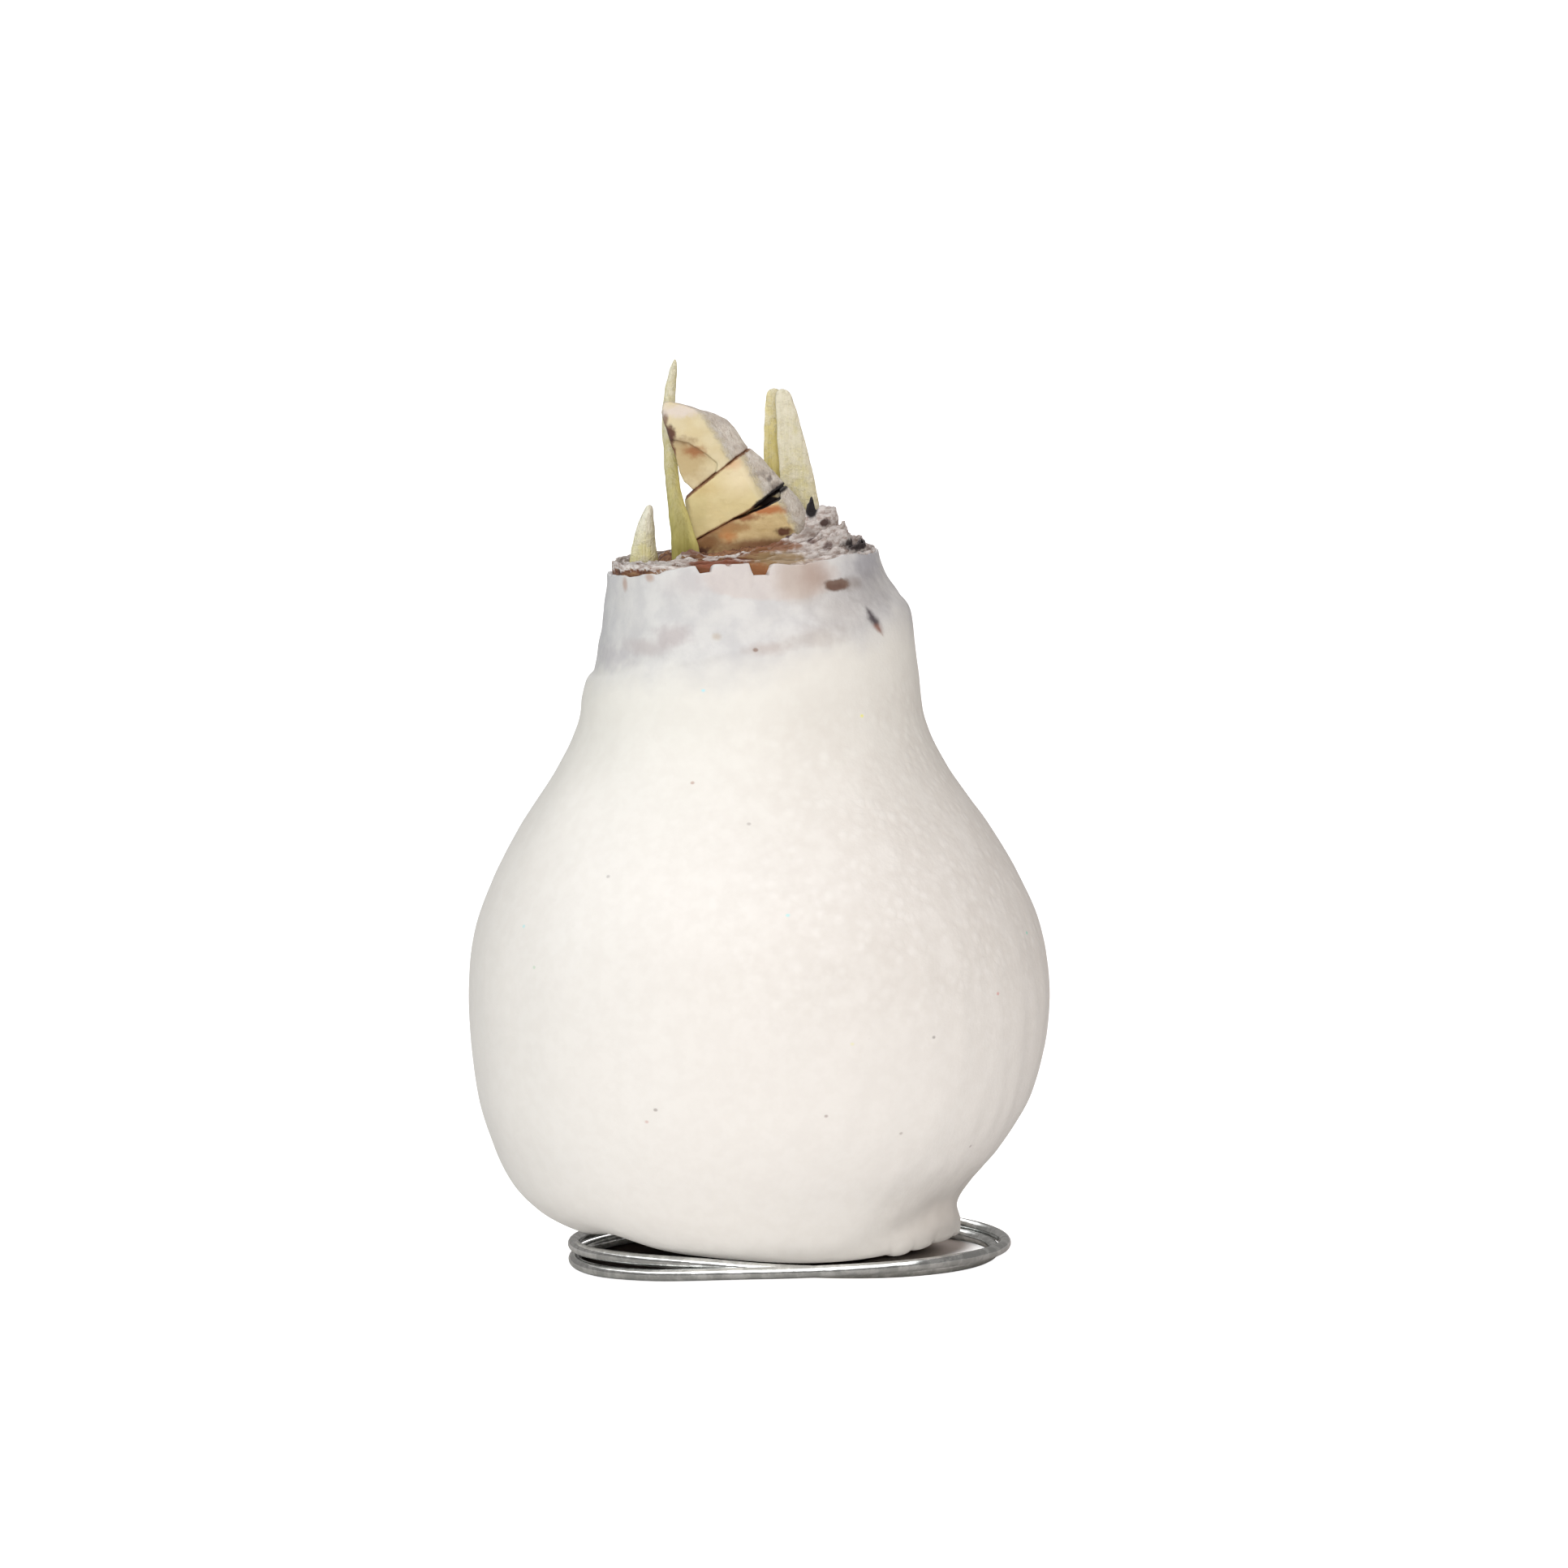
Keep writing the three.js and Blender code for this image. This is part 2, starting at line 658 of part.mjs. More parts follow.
function addPiece(name, geometry, material) {
  const mesh = new THREE.Mesh(geometry, new THREE.MeshStandardMaterial(MATERIALS[material]));
  mesh.name = name;
  amaryllis.add(mesh);
}

const pockets = Object.values(LEAVES).map((leaf) => toSolid(makePocket(leaf)));
const withPockets = (geometry) =>
  toGeometry(pockets.reduce((solid, pocket) => solid.subtract(pocket), toSolid(geometry)));

addPiece("wire_stand", makeWireStand(), "wire");
addPiece("wax_coat", makeWaxCoat(), "wax");
addPiece("bulb", withPockets(makeBulb()), "flesh");
addPiece("neck_tunics", withPockets(makeNeckTunics()), "skin");
for (const [name, leaf] of Object.entries(LEAVES)) {
  addPiece(name, makeBlade(leaf), "leaf");
}
for (const [name, solid] of Object.entries(makeCutBases())) {
  addPiece(name, toGeometry(solid), "cut");
}

export default amaryllis;
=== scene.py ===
import math

import bmesh
import bpy
import numpy
from mathutils import Matrix, Vector, noise


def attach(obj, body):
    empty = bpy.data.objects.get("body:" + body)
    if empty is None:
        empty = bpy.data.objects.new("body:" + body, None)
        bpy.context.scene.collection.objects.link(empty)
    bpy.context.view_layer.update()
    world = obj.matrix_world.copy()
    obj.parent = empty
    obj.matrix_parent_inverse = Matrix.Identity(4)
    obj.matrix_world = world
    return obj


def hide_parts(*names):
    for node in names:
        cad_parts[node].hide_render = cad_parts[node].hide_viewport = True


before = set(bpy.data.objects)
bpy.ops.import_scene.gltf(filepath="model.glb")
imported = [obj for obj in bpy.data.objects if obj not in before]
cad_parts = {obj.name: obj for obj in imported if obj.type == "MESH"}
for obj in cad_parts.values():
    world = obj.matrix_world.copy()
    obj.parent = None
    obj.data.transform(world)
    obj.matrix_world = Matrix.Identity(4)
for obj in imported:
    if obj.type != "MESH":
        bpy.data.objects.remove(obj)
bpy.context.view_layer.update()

# The bulb is built from the table up: the wire stand, the bulb, its wax, the torn skins of
# the neck, and what grows and is cut off above them. Sizes are in millimetres, angles go
# round from the right-hand side, and the front is at 270 degrees.

# ---------------------------------------------------------------- wire stand
# One length of bright galvanised wire, wound by hand into two open turns that the bulb
# stands on. Its end turns in to the middle and goes up into the bulb's base as a prong.

MM = 0.001
WIRE_RADIUS = 0.9
WIRE_FACETS = 20
RING_X = 3.6
# The coil: angle, radius of the turn, height of the wire's middle.
COIL = [
    (98, 31.8, 0.9),
    (150, 31.9, 0.9),
    (200, 31.9, 0.98),
    (230, 32.2, 1.6),
    (262, 32.8, 2.6),
    (310, 32.8, 2.5),
    (360, 32.1, 1.95),
    (405, 32.1, 2.2),
    (450, 31.95, 2.8),
    (500, 31.9, 2.85),
    (550, 31.9, 3.25),
    (580, 31.6, 3.6),
    (605, 30.9, 3.5),
    (630, 30.7, 2.6),
    (660, 30.3, 1.5),
    (690, 30.3, 0.98),
    (720, 30.4, 0.92),
    (755, 30.5, 0.9),
    (790, 30.6, 0.9),
]
COIL_TURNS = 2
ROW_STEPS = 12
BEND_STEPS = 8
SPOKE_BEND = 6
SPOKE_HEADING = 165.7
SPOKE_RISE = 0.5
PRONG_BEND = 4
PRONG_HEIGHTS = (12, 20, 28, 34)


def along(rows, place):
    """The values at a place between two rows, on a smooth curve through all the rows."""
    first = max(0, min(int(place), len(rows) - 2))
    share = place - first
    near = [rows[max(0, min(i, len(rows) - 1))] for i in range(first - 1, first + 3)]
    return [
        0.5
        * (
            2 * b
            + (c - a) * share
            + (2 * a - 5 * b + 4 * c - d) * share**2
            + (3 * b - a - 3 * c + d) * share**3
        )
        for a, b, c, d in zip(*near)
    ]


def make_tube(rows, facets, place, joined=False, marks=()):
    """A grid is rolled up into a tube. Each point goes where place says, from its row and its
    angle, and carries the marks that the material reads, from its place and those two. The
    last row joins the first, or both ends are closed."""
    bm = bmesh.new()
    bands = rows if joined else rows - 1
    bmesh.ops.create_grid(bm, x_segments=facets, y_segments=bands, size=0.5)
    layers = [(bm.verts.layers.float.new(name), mark) for name, mark in dict(marks).items()]
    for point in bm.verts:
        angle = math.tau * (round((point.co.x + 0.5) * facets) % facets) / facets
        row = round((point.co.y + 0.5) * bands) % rows
        at = Vector(place(row, angle))
        point.co = at * MM
        for layer, mark in layers:
            point[layer] = mark(at, row, angle)
    bmesh.ops.remove_doubles(bm, verts=bm.verts[:], dist=1e-8)
    if not joined:
        open_edges = [edge for edge in bm.edges if edge.is_boundary]
        ends = bmesh.ops.holes_fill(bm, edges=open_edges)["faces"]
        bmesh.ops.poke(bm, faces=ends)
    bmesh.ops.recalc_face_normals(bm, faces=bm.faces[:])
    return bm


def finish_piece(bm, name, material, replaced=()):
    """Turns a bmesh into a smooth piece of the object."""
    for face in bm.faces:
        face.smooth = True
    mesh = bpy.data.meshes.new(name)
    bm.to_mesh(mesh)
    bm.free()
    mesh.materials.append(material)
    piece = bpy.data.objects.new(name, mesh)
    bpy.context.collection.objects.link(piece)
    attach(piece, "root")
    if replaced:
        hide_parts(*replaced)


def ring_point(angle, radius, height, centre_x=0):
    """A point at an angle in degrees round an upright axis."""
    turn = math.radians(angle)
    return Vector((centre_x + radius * math.cos(turn), radius * math.sin(turn), height))


def wire_path():
    """The points of the wire's middle, from its cut end at the back to the prong's tip."""
    places = [i / ROW_STEPS for i in range(ROW_STEPS * (len(COIL) - 1) + 1)]
    path = [ring_point(*along(COIL, place), RING_X) for place in places]
    for point in path:
        point.z = max(point.z, WIRE_RADIUS)
    shares = [step / BEND_STEPS for step in range(1, BEND_STEPS + 1)]

    # The end of the coil turns in to the spoke.
    last = COIL[-1][0] - 360 * COIL_TURNS
    hub = path[-1] - ring_point(last, SPOKE_BEND, 0)
    for share in shares:
        turned = last + (SPOKE_HEADING - last) * share
        path.append(hub + ring_point(turned, SPOKE_BEND, 0))

    # The spoke runs in to the foot of the prong, and the prong goes up.
    outwards = Vector((path[-1].x, path[-1].y, 0)).normalized()
    spoke = path[-1].length - PRONG_BEND
    for share in shares:
        point = outwards * (PRONG_BEND + spoke * (1 - share))
        point.z = WIRE_RADIUS + SPOKE_RISE * share
        path.append(point)
    for share in shares:
        turned = math.radians(90 * share)
        point = outwards * PRONG_BEND * (1 - math.sin(turned))
        point.z = WIRE_RADIUS + SPOKE_RISE + PRONG_BEND * (1 - math.cos(turned))
        path.append(point)
    return path + [Vector((0, 0, height)) for height in PRONG_HEIGHTS]


def shade(tree, kind, inputs=(), **settings):
    """A shader node. Each input is a value, or another node's output."""
    node = tree.nodes.new("ShaderNode" + kind)
    for name, value in settings.items():
        setattr(node, name, value)
    for name, value in dict(inputs).items():
        if isinstance(value, bpy.types.NodeSocket):
            tree.links.new(value, node.inputs[name])
        else:
            node.inputs[name].default_value = value
    return node


def ease(tree, value, start, end):
    """0 below the start, 1 above the end."""
    inputs = {"Value": value, "From Min": start, "From Max": end}
    return shade(tree, "MapRange", inputs, interpolation_type="SMOOTHSTEP").outputs[0]


def maths(tree, operation, *values):
    """The result of an operation on values or other nodes' outputs."""
    return shade(tree, "Math", dict(enumerate(values)), operation=operation).outputs[0]


def paint(tree, mask, under, over):
    """One colour over another where the mask is 1."""
    return shade(tree, "Mix", {0: mask, 6: under, 7: over}, data_type="RGBA").outputs[2]


def rgb(red, green, blue):
    """A colour as a screen shows it, out of 255, as the shader wants it."""
    return [
        c / 12.92 if c <= 0.04045 else ((c + 0.055) / 1.055) ** 2.4
        for c in (red / 255, green / 255, blue / 255)
    ] + [1]


def new_finish(name, **sockets):
    """A material, its node tree and its Principled shader, with the even values set."""
    material = bpy.data.materials.new(name)
    material.use_nodes = True
    tree = material.node_tree
    shader = tree.nodes["Principled BSDF"]
    for socket, value in sockets.items():
        shader.inputs[socket.replace("_", " ").title()].default_value = value
    return material, tree, shader


def in_millimetres(tree):
    """The place on the object, in millimetres."""
    place = shade(tree, "TexCoord").outputs["Object"]
    scaled = shade(tree, "VectorMath", {0: place, 3: 1 / MM}, operation="SCALE")
    return scaled.outputs[0]


def make_effect(name, inputs, outputs):
    """An empty shader group with named inputs and outputs, its input node and output node."""
    group = bpy.data.node_groups.new(name, "ShaderNodeTree")
    for socket, kind, default in inputs:
        made = group.interface.new_socket(socket, in_out="INPUT", socket_type=kind)
        made.default_value = default
    for socket, kind in outputs:
        group.interface.new_socket(socket, in_out="OUTPUT", socket_type=kind)
    return group, group.nodes.new("NodeGroupInput"), group.nodes.new("NodeGroupOutput")


def make_grain_effect():
    """Soft noise, with one over the size of its lumps along each axis as its squeeze."""
    group, given, result = make_effect(
        "grain",
        [
            ("Place", "NodeSocketVector", (0, 0, 0)),
            ("Squeeze", "NodeSocketVector", (1, 1, 1)),
            ("Detail", "NodeSocketFloat", 2.0),
            ("Roughness", "NodeSocketFloat", 0.5),
        ],
        [("Height", "NodeSocketFloat")],
    )
    place, squeeze, detail, roughness = [given.outputs[i] for i in range(4)]
    moved = shade(group, "VectorMath", {0: place, 1: squeeze}, operation="MULTIPLY").outputs[0]
    inputs = {"Vector": moved, "Scale": 1.0, "Detail": detail, "Roughness": roughness}
    lumpy = shade(group, "TexNoise", inputs).outputs[0]
    group.links.new(lumpy, result.inputs["Height"])
    return group


GRAIN = make_grain_effect()


def soft_noise(tree, place, size, detail=2.0, roughness=0.5, stretch=(1, 1, 1)):
    """Noise whose lumps are about a size across, in millimetres, before the stretch."""
    squeeze = Vector([1 / (size * s) for s in stretch])
    inputs = {"Place": place, "Squeeze": squeeze, "Detail": detail, "Roughness": roughness}
    return shade(tree, "Group", inputs, node_tree=GRAIN).outputs["Height"]


def relief(tree, shader, height, depth):
    """Small relief, of a depth in millimetres, that catches the light."""
    inputs = {"Height": height, "Distance": depth * MM, "Strength": 1.0}
    bump = shade(tree, "Bump", inputs)
    tree.links.new(bump.outputs[0], shader.inputs["Normal"])


def make_wire_finish():
    """Bright drawn zinc: fine scratches and a cloudy grain that vary its polish."""
    material, tree, shader = new_finish("bright wire", metallic=1.0)
    place = in_millimetres(tree)
    cloud = soft_noise(tree, place, 2.6, detail=4, roughness=0.6)
    scratch = soft_noise(tree, place, 0.5, detail=3, stretch=(6, 6, 0.6))
    grey = paint(tree, ease(tree, cloud, 0.42, 0.62), rgb(204, 206, 205), rgb(240, 242, 241))
    tree.links.new(grey, shader.inputs["Base Color"])
    rough = maths(tree, "MULTIPLY_ADD", scratch, 0.16, 0.03)
    tree.links.new(rough, shader.inputs["Roughness"])
    relief(tree, shader, scratch, 0.025)
    return material


def make_wire():
    """A round tube that follows the wire's path without twisting."""
    path = wire_path()
    travel = [
        (path[min(i + 1, len(path) - 1)] - path[max(i - 1, 0)]).normalized()
        for i in range(len(path))
    ]
    sides = [travel[0].cross(Vector((0, 0, 1))).normalized()]
    for before, after in zip(travel, travel[1:]):
        sides.append(before.rotation_difference(after) @ sides[-1])

    def place(row, angle):
        up = travel[row].cross(sides[row])
        reach = sides[row] * math.cos(angle) + up * math.sin(angle)
        return path[row] + reach * WIRE_RADIUS

    return make_tube(len(path), WIRE_FACETS, place)


finish_piece(make_wire(), "stand_wire", make_wire_finish(), ["wire_stand"])

# ---------------------------------------------------------------- bulb
# The fleshy bulb, one body from its base plate to the neck. Only the cut top of its neck
# shows, where the tips of its scales have dried to a brown, fibrous crust.

NECK_X = -0.8
FLESH_TOP = 105.2
FLESH_SLOPE = 0.1
CRUST_REACH = 13.3
CRUST_ROWS = 44
CRUST_FACETS = 180
CRUST_RINGS = 5
CRUST_HEIGHT = 1.5
CRUST_LIFT = 0.05


def between(value, start, end):
    """0 before the start, 1 after the end, and a smooth rise from one to the other."""
    share = max(0, min(1, (value - start) / (end - start)))
    return share * share * (3 - 2 * share)


def lumps(point, size, seed=0.0):
    """Soft lumps about a size across, between -1 and 1."""
    return noise.noise(Vector(point) / size + Vector((seed, 3.7 * seed, -seed)))


def crust_point(row, angle):
    """The crust runs from its rim on the flesh to its middle, in rings like an onion's."""
    share = 1 - row / (CRUST_ROWS - 1)
    radius = CRUST_REACH * share
    x = NECK_X + radius * math.cos(angle)
    y = radius * math.sin(angle)
    wander = 0.9 * lumps((x, y, 0), 4, 1.3)
    rings = abs(math.sin(math.pi * CRUST_RINGS * (share + wander / CRUST_REACH)))
    torn = lumps((x, y, 0), 0.9, 5.1) + 0.5 * lumps((x, y, 0), 0.35, 2.2)
    edge = between(row, -1, 3)
    height = CRUST_HEIGHT * (0.35 + 0.5 * rings + 0.35 * torn) * edge
    return x, y, FLESH_TOP + FLESH_SLOPE * x + CRUST_LIFT + max(height, 0)


def make_flesh_finish(name, pale, dark):
    """Dried bulb scale: tan, streaked and blotched with brown, with a fibrous grain."""
    material, tree, shader = new_finish(name, roughness=0.8)
    place = in_millimetres(tree)
    blotch = soft_noise(tree, place, 2.6, detail=5, roughness=0.65)
    fibre = soft_noise(tree, place, 0.5, detail=4, roughness=0.7, stretch=(1, 1, 3))
    mixed = paint(tree, 0.35, blotch, fibre)
    colour = paint(tree, ease(tree, mixed, 0.4, 0.6), dark, pale)
    tree.links.new(colour, shader.inputs["Base Color"])
    relief(tree, shader, fibre, 0.3)
    return material


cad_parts["bulb"].data.materials.clear()
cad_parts["bulb"].data.materials.append(
    make_flesh_finish("bulb flesh", rgb(222, 200, 150), rgb(168, 128, 84))
)
crust = make_tube(CRUST_ROWS, CRUST_FACETS, crust_point)
crust_finish = make_flesh_finish("dry crust", rgb(164, 120, 86), rgb(84, 48, 36))
finish_piece(crust, "scale_crust", crust_finish)

# ---------------------------------------------------------------- wax coat
# The bulb was dipped in white wax: a thick coat up to a soft lip on the shoulder, and a thin
# dip above it through which the brown neck shows. It runs in under the swollen base, over the
# stubs of the cut roots.

COAT_FACETS = 400
# The outline, from the edge of the underside to the rim on the neck: radius and height on
# the left side, then on the right side.
COAT = [
    (25.0, 5.4, 26.0, 2.4),
    (27.4, 5.5, 27.9, 2.6),
    (30.9, 7.0, 28.4, 4.6),
    (34.0, 9.1, 29.3, 8.0),
    (37.1, 12.7, 31.1, 11.7),
    (40.1, 18.9, 35.9, 17.2),
    (42.1, 26.0, 40.2, 24.6),
    (43.0, 37.0, 43.0, 36.5),
    (42.4, 47.7, 42.4, 46.6),
    (39.8, 56.2, 39.9, 54.5),
    (35.0, 65.2, 34.9, 63.6),
    (29.0, 74.2, 28.8, 73.0),
    (25.9, 80.6, 25.4, 80.4),
    (25.2, 84.6, 24.6, 88.5),
    (24.5, 87.1, 23.7, 96.2),
    (23.4, 88.5, 22.1, 98.8),
    (22.5, 92.0, 20.7, 100.8),
    (21.5, 98.0, 19.6, 103.0),
    (21.1, 103.0, 19.0, 105.1),
]
# How much higher or lower the lower edge runs round a heading: heading, spread, rise.
EDGE_RISE = [(217, 15, 1.3), (285, 32, -0.6), (334, 22, 0.7), (357, 47, 1.25)]
LIP_LEVEL = 14
RIM_LEVEL = 18
LIP_DRAWN_IN = 0.9
COAT_WALL = 1.5
UNDERSIDE_HEIGHT = 4.7
PRONG_HOLE = 1.4
NECK_BORE = 19.3
SHOULDER_HEIGHT = 93.6
LEVEL_STEP = 0.1
RIM_WANDER = 0.25
# How much higher the rim stands at a heading than the outline says.
RIM_LIFT = [
    (0, 0.2),
    (60, 0.5),
    (120, 0.1),
    (180, -0.4),
    (215, 0.0),
    (230, 0.5),
    (247, 1.3),
    (270, 1.25),
    (281, 0.75),
    (291, 0.3),
    (307, 0.55),
    (316, 0.9),
    (339, 0.3),
    (360, 0.2),
]
# Where pieces of the rim broke off: heading, half width in degrees, depth.
RIM_NICKS = [
    (251.8, 3.5, 1.15),
    (275.3, 4.6, 1.7),
    (262.0, 1.4, 0.3),
    (20.0, 3.0, 0.8),
    (64.0, 5.0, 1.1),
    (118.0, 2.5, 0.7),
    (165.0, 4.0, 0.6),
]
# The swollen ring of the base, low on the right: its heading, the height of its crest and of
# the hollow above it, and how far it stands out.
FOOT_RING = [
    (290, 3.0, 4.8, 0.0),
    (303, 3.7, 6.0, 0.25),
    (315, 4.6, 7.7, 0.6),
    (329, 6.0, 9.9, 0.9),
    (341, 6.4, 10.4, 0.85),
    (352, 5.6, 8.6, 0.75),
    (370, 5.2, 8.2, 0.6),
    (390, 4.6, 8.0, 0.4),
    (412, 4.4, 8.0, 0.0),
]
# The scallops along the ring's lower edge: heading and half width.
SCALLOPS = [(315, 4.2), (324.3, 5.4), (338.5, 8.8), (354, 7), (367, 6.5), (380, 7)]
SCALLOP_DROP = 0.5
SCALLOP_SWELL = 0.3
# The ring fades out over so much below its crest, and over a share of the way to the hollow.
RING_FADE = 4.0
RING_SHARE = 0.55
HOLLOW_DEPTH = 0.75
HOLLOW_FADE = 2.2
# The edge of the thick coat round the neck, where the thin dip above it begins: heading and
# height.
LIP_LINE = [
    (0, 95.8),
    (60, 93.4),
    (120, 91.0),
    (180, 89.0),
    (205, 89.6),
    (226, 90.9),
    (244, 90.7),
    (262, 90.6),
    (271, 91.4),
    (283, 92.9),
    (309, 95.0),
    (335, 96.0),
    (360, 95.8),
]


def read_off(points, value):
    """The second number at a value of the first, on straight lines between points."""
    return float(numpy.interp(value, *zip(*points)))


def away(angle, heading):
    """How far an angle lies from a heading, in degrees, the short way round."""
    return abs((math.degrees(angle) - heading + 180) % 360 - 180)


def lobe(angle, heading, spread):
    """1 at a heading, falling off softly to both sides over a spread in degrees."""
    return math.exp(-((away(angle, heading) / spread) ** 2))


def coat_point(angle, level, inset=0.0):
    """A point of the wax at an angle and a level of the outline, set in by a wall."""
    here, next_up = along(COAT, level), along(COAT, min(level + 0.01, RIM_LEVEL))
    before = along(COAT, max(level - 0.01, 0))
    sides = []
    for side in (0, 2):
        run, climb = next_up[side] - before[side], next_up[side + 1] - before[side + 1]
        length = math.hypot(run, climb)
        sides.append((here[side] - inset * climb / length, here[side + 1] + inset * run / length))
    (left_radius, left_height), (right_radius, right_height) = sides
    to_right = (1 + math.cos(angle)) / 2
    low_down = 1 - between(level, 0.5, 4.5)
    arch = sum(rise * lobe(angle, heading, spread) for heading, spread, rise in EDGE_RISE)
    lip = LIP_DRAWN_IN * math.sin(angle) ** 2 * between(level, LIP_LEVEL - 2, LIP_LEVEL)
    lip *= 1 - between(level, LIP_LEVEL, LIP_LEVEL + 1)
    radius = left_radius + (right_radius - left_radius) * to_right - lip
    height = left_height + (right_height - left_height) * to_right + arch * low_down
    return Vector((radius * math.cos(angle), radius * math.sin(angle), height))


def foot_swell(angle, height):
    """How far the ring of the base stands out, less the hollow above it."""
    heading = math.degrees(angle) % 360
    heading += 360 if heading < 90 else 0
    crest, hollow, size = [
        read_off([(row[0], row[i]) for row in FOOT_RING], heading) for i in (1, 2, 3)
    ]
    fade = RING_FADE if height < crest else RING_SHARE * (hollow - crest)
    ring = math.exp(-(((height - crest) / fade) ** 2))
    return size * (ring - HOLLOW_DEPTH * math.exp(-(((height - hollow) / HOLLOW_FADE) ** 2)))


def scallop(angle):
    """0 in the notch between two scallops, 1 in the middle of one."""
    lobes = [1 - (away(angle, heading) / width) ** 2 for heading, width in SCALLOPS]
    return math.sqrt(max(0, *lobes))


def wax_point(angle, level):
    """The wax's surface with its own unevenness: ripples, runs and the lumps of the neck."""
    point = coat_point(angle, level)
    outward = Vector((math.cos(angle), math.sin(angle), 0))
    body = between(level, 1.5, 4) * (1 - between(level, 13.5, 14.5))
    neck = between(level, 13.5, 15)
    foot = 1 - between(level, 3.2, 5.5)
    ripple = 0.22 * lumps(point, 11, 2.1) + 0.06 * lumps(point, 3.2, 7.7)
    runs = 0.18 * lumps((point.x, point.y, point.z / 9), 3.4, 4.4) * (1 - between(level, 7, 10))
    runs *= 0.15 + 0.85 * between(point.x, -5, 20)
    folds = 0.35 * lumps((point.x, point.y, point.z * 1.5), 7, 9.2)
    folds += 0.1 * lumps(point, 2.4, 6.1)
    swell = (ripple + runs) * body + folds * neck * (1 - 0.6 * between(level, 17, 18))
    swell += foot_swell(angle, point.z) * foot
    low_edge = scallop(angle) * (1 - between(level, 1.2, 3.2))
    swell += SCALLOP_SWELL * low_edge
    point += outward * swell
    point.z -= SCALLOP_DROP * low_edge * between(level, -1, 1)
    if level > RIM_LEVEL - 1:
        top = between(level, RIM_LEVEL - 1, RIM_LEVEL)
        point.z += RIM_WANDER * (lumps(point, 4, 1.9) + 0.7 * lumps(point, 1.1, 8.3)) * top
        point.z += read_off(RIM_LIFT, math.degrees(angle) % 360) * top
        for heading, width, depth in RIM_NICKS:
            inside = 1 - between(away(angle, heading), width * 0.8, width * 1.15)
            point.z -= depth * inside * top
    return point


def coat_rows():
    """Rows of the whole coat: under the base, up the outside, over the rim and back inside."""
    rows = []
    for share in (0, 0.25, 0.5, 0.75, 0.9):
        rows.append(("under", share, 0.0))
    for step in range(round(RIM_LEVEL / LEVEL_STEP) + 1):
        rows.append(("outside", step * LEVEL_STEP, 0.0))
    for share in (0.35, 0.7, 1.0):
        rows.append(("edge", share, 0.0))
    rows.append(("bore", 0, 0.0))
    for level in (11.8, 10, 8.2, 6.7, 5.3, 4, 3, 2, 1.3, 0.7, 0):
        rows.append(("inside", level, COAT_WALL))
    for share in (0.9, 0.5, 0):
        rows.append(("under", share, COAT_WALL))
    return rows


def coat_surface(kind, share, inset, angle):
    """The point of one row of the coat at an angle."""
    if kind == "outside":
        return wax_point(angle, share)
    if kind == "inside":
        return coat_point(angle, share, inset)
    if kind == "under":
        corner = wax_point(angle, 0) if inset == 0 else coat_point(angle, 0, inset)
        reach = corner.xy.length
        radius = PRONG_HOLE + (reach - PRONG_HOLE) * share
        middle = UNDERSIDE_HEIGHT + inset
        return ring_point(math.degrees(angle), radius, middle + (corner.z - middle) * share**2)
    bore = ring_point(math.degrees(angle), NECK_BORE, SHOULDER_HEIGHT, NECK_X)
    if kind == "bore":
        return bore
    rim = wax_point(angle, RIM_LEVEL)
    over = rim.lerp(Vector((bore.x, bore.y, rim.z)), share)
    over.z += 0.12 * math.sin(math.pi * share) - 0.3 * share
    return over


def make_patch_effect():
    """A patch round a centre, with its own reach along each axis and a ragged, soft edge."""
    group, given, result = make_effect(
        "patch",
        [
            ("Place", "NodeSocketVector", (0, 0, 0)),
            ("Centre", "NodeSocketVector", (0, 0, 0)),
            ("Reach", "NodeSocketVector", (1, 1, 1)),
            ("Ragged", "NodeSocketFloat", 0.3),
            ("Grain", "NodeSocketFloat", 1.0),
            ("Soft", "NodeSocketFloat", 0.3),
        ],
        [("Mask", "NodeSocketFloat")],
    )
    place, centre, reach, ragged, grain, soft = [given.outputs[i] for i in range(6)]
    wander = shade(group, "TexNoise", {"Vector": place, "Scale": grain, "Detail": 3.0}).outputs[0]
    offset = shade(group, "VectorMath", {0: place, 1: centre}, operation="SUBTRACT").outputs[0]
    shrunk = shade(group, "VectorMath", {0: offset, 1: reach}, operation="DIVIDE").outputs[0]
    length = shade(group, "VectorMath", {0: shrunk}, operation="LENGTH").outputs["Value"]
    swing = maths(group, "MULTIPLY", maths(group, "SUBTRACT", wander, 0.5), 4.0)
    uneven = maths(group, "MULTIPLY_ADD", swing, ragged, length)
    inner = maths(group, "SUBTRACT", 1.0, soft)
    outer = maths(group, "ADD", 1.0, soft)
    outside = ease(group, uneven, inner, outer)
    group.links.new(maths(group, "SUBTRACT", 1.0, outside), result.inputs["Mask"])
    return group


PATCH = make_patch_effect()


def patch(tree, place, centre, reach, ragged, grain, soft):
    """Where a patch lies, from 0 to 1."""
    inputs = {
        "Place": place,
        "Centre": centre,
        "Reach": reach,
        "Ragged": ragged,
        "Grain": grain,
        "Soft": soft,
    }
    return shade(tree, "Group", inputs, node_tree=PATCH).outputs["Mask"]


def stain(tree, place, colour, patches, grain):
    """A colour with patches of other colours laid over it."""
    for centre, reach, ragged, soft, strength, over in patches:
        mask = patch(tree, place, centre, reach, ragged, grain, soft)
        colour = paint(tree, maths(tree, "MULTIPLY", mask, strength), colour, over)
    return colour


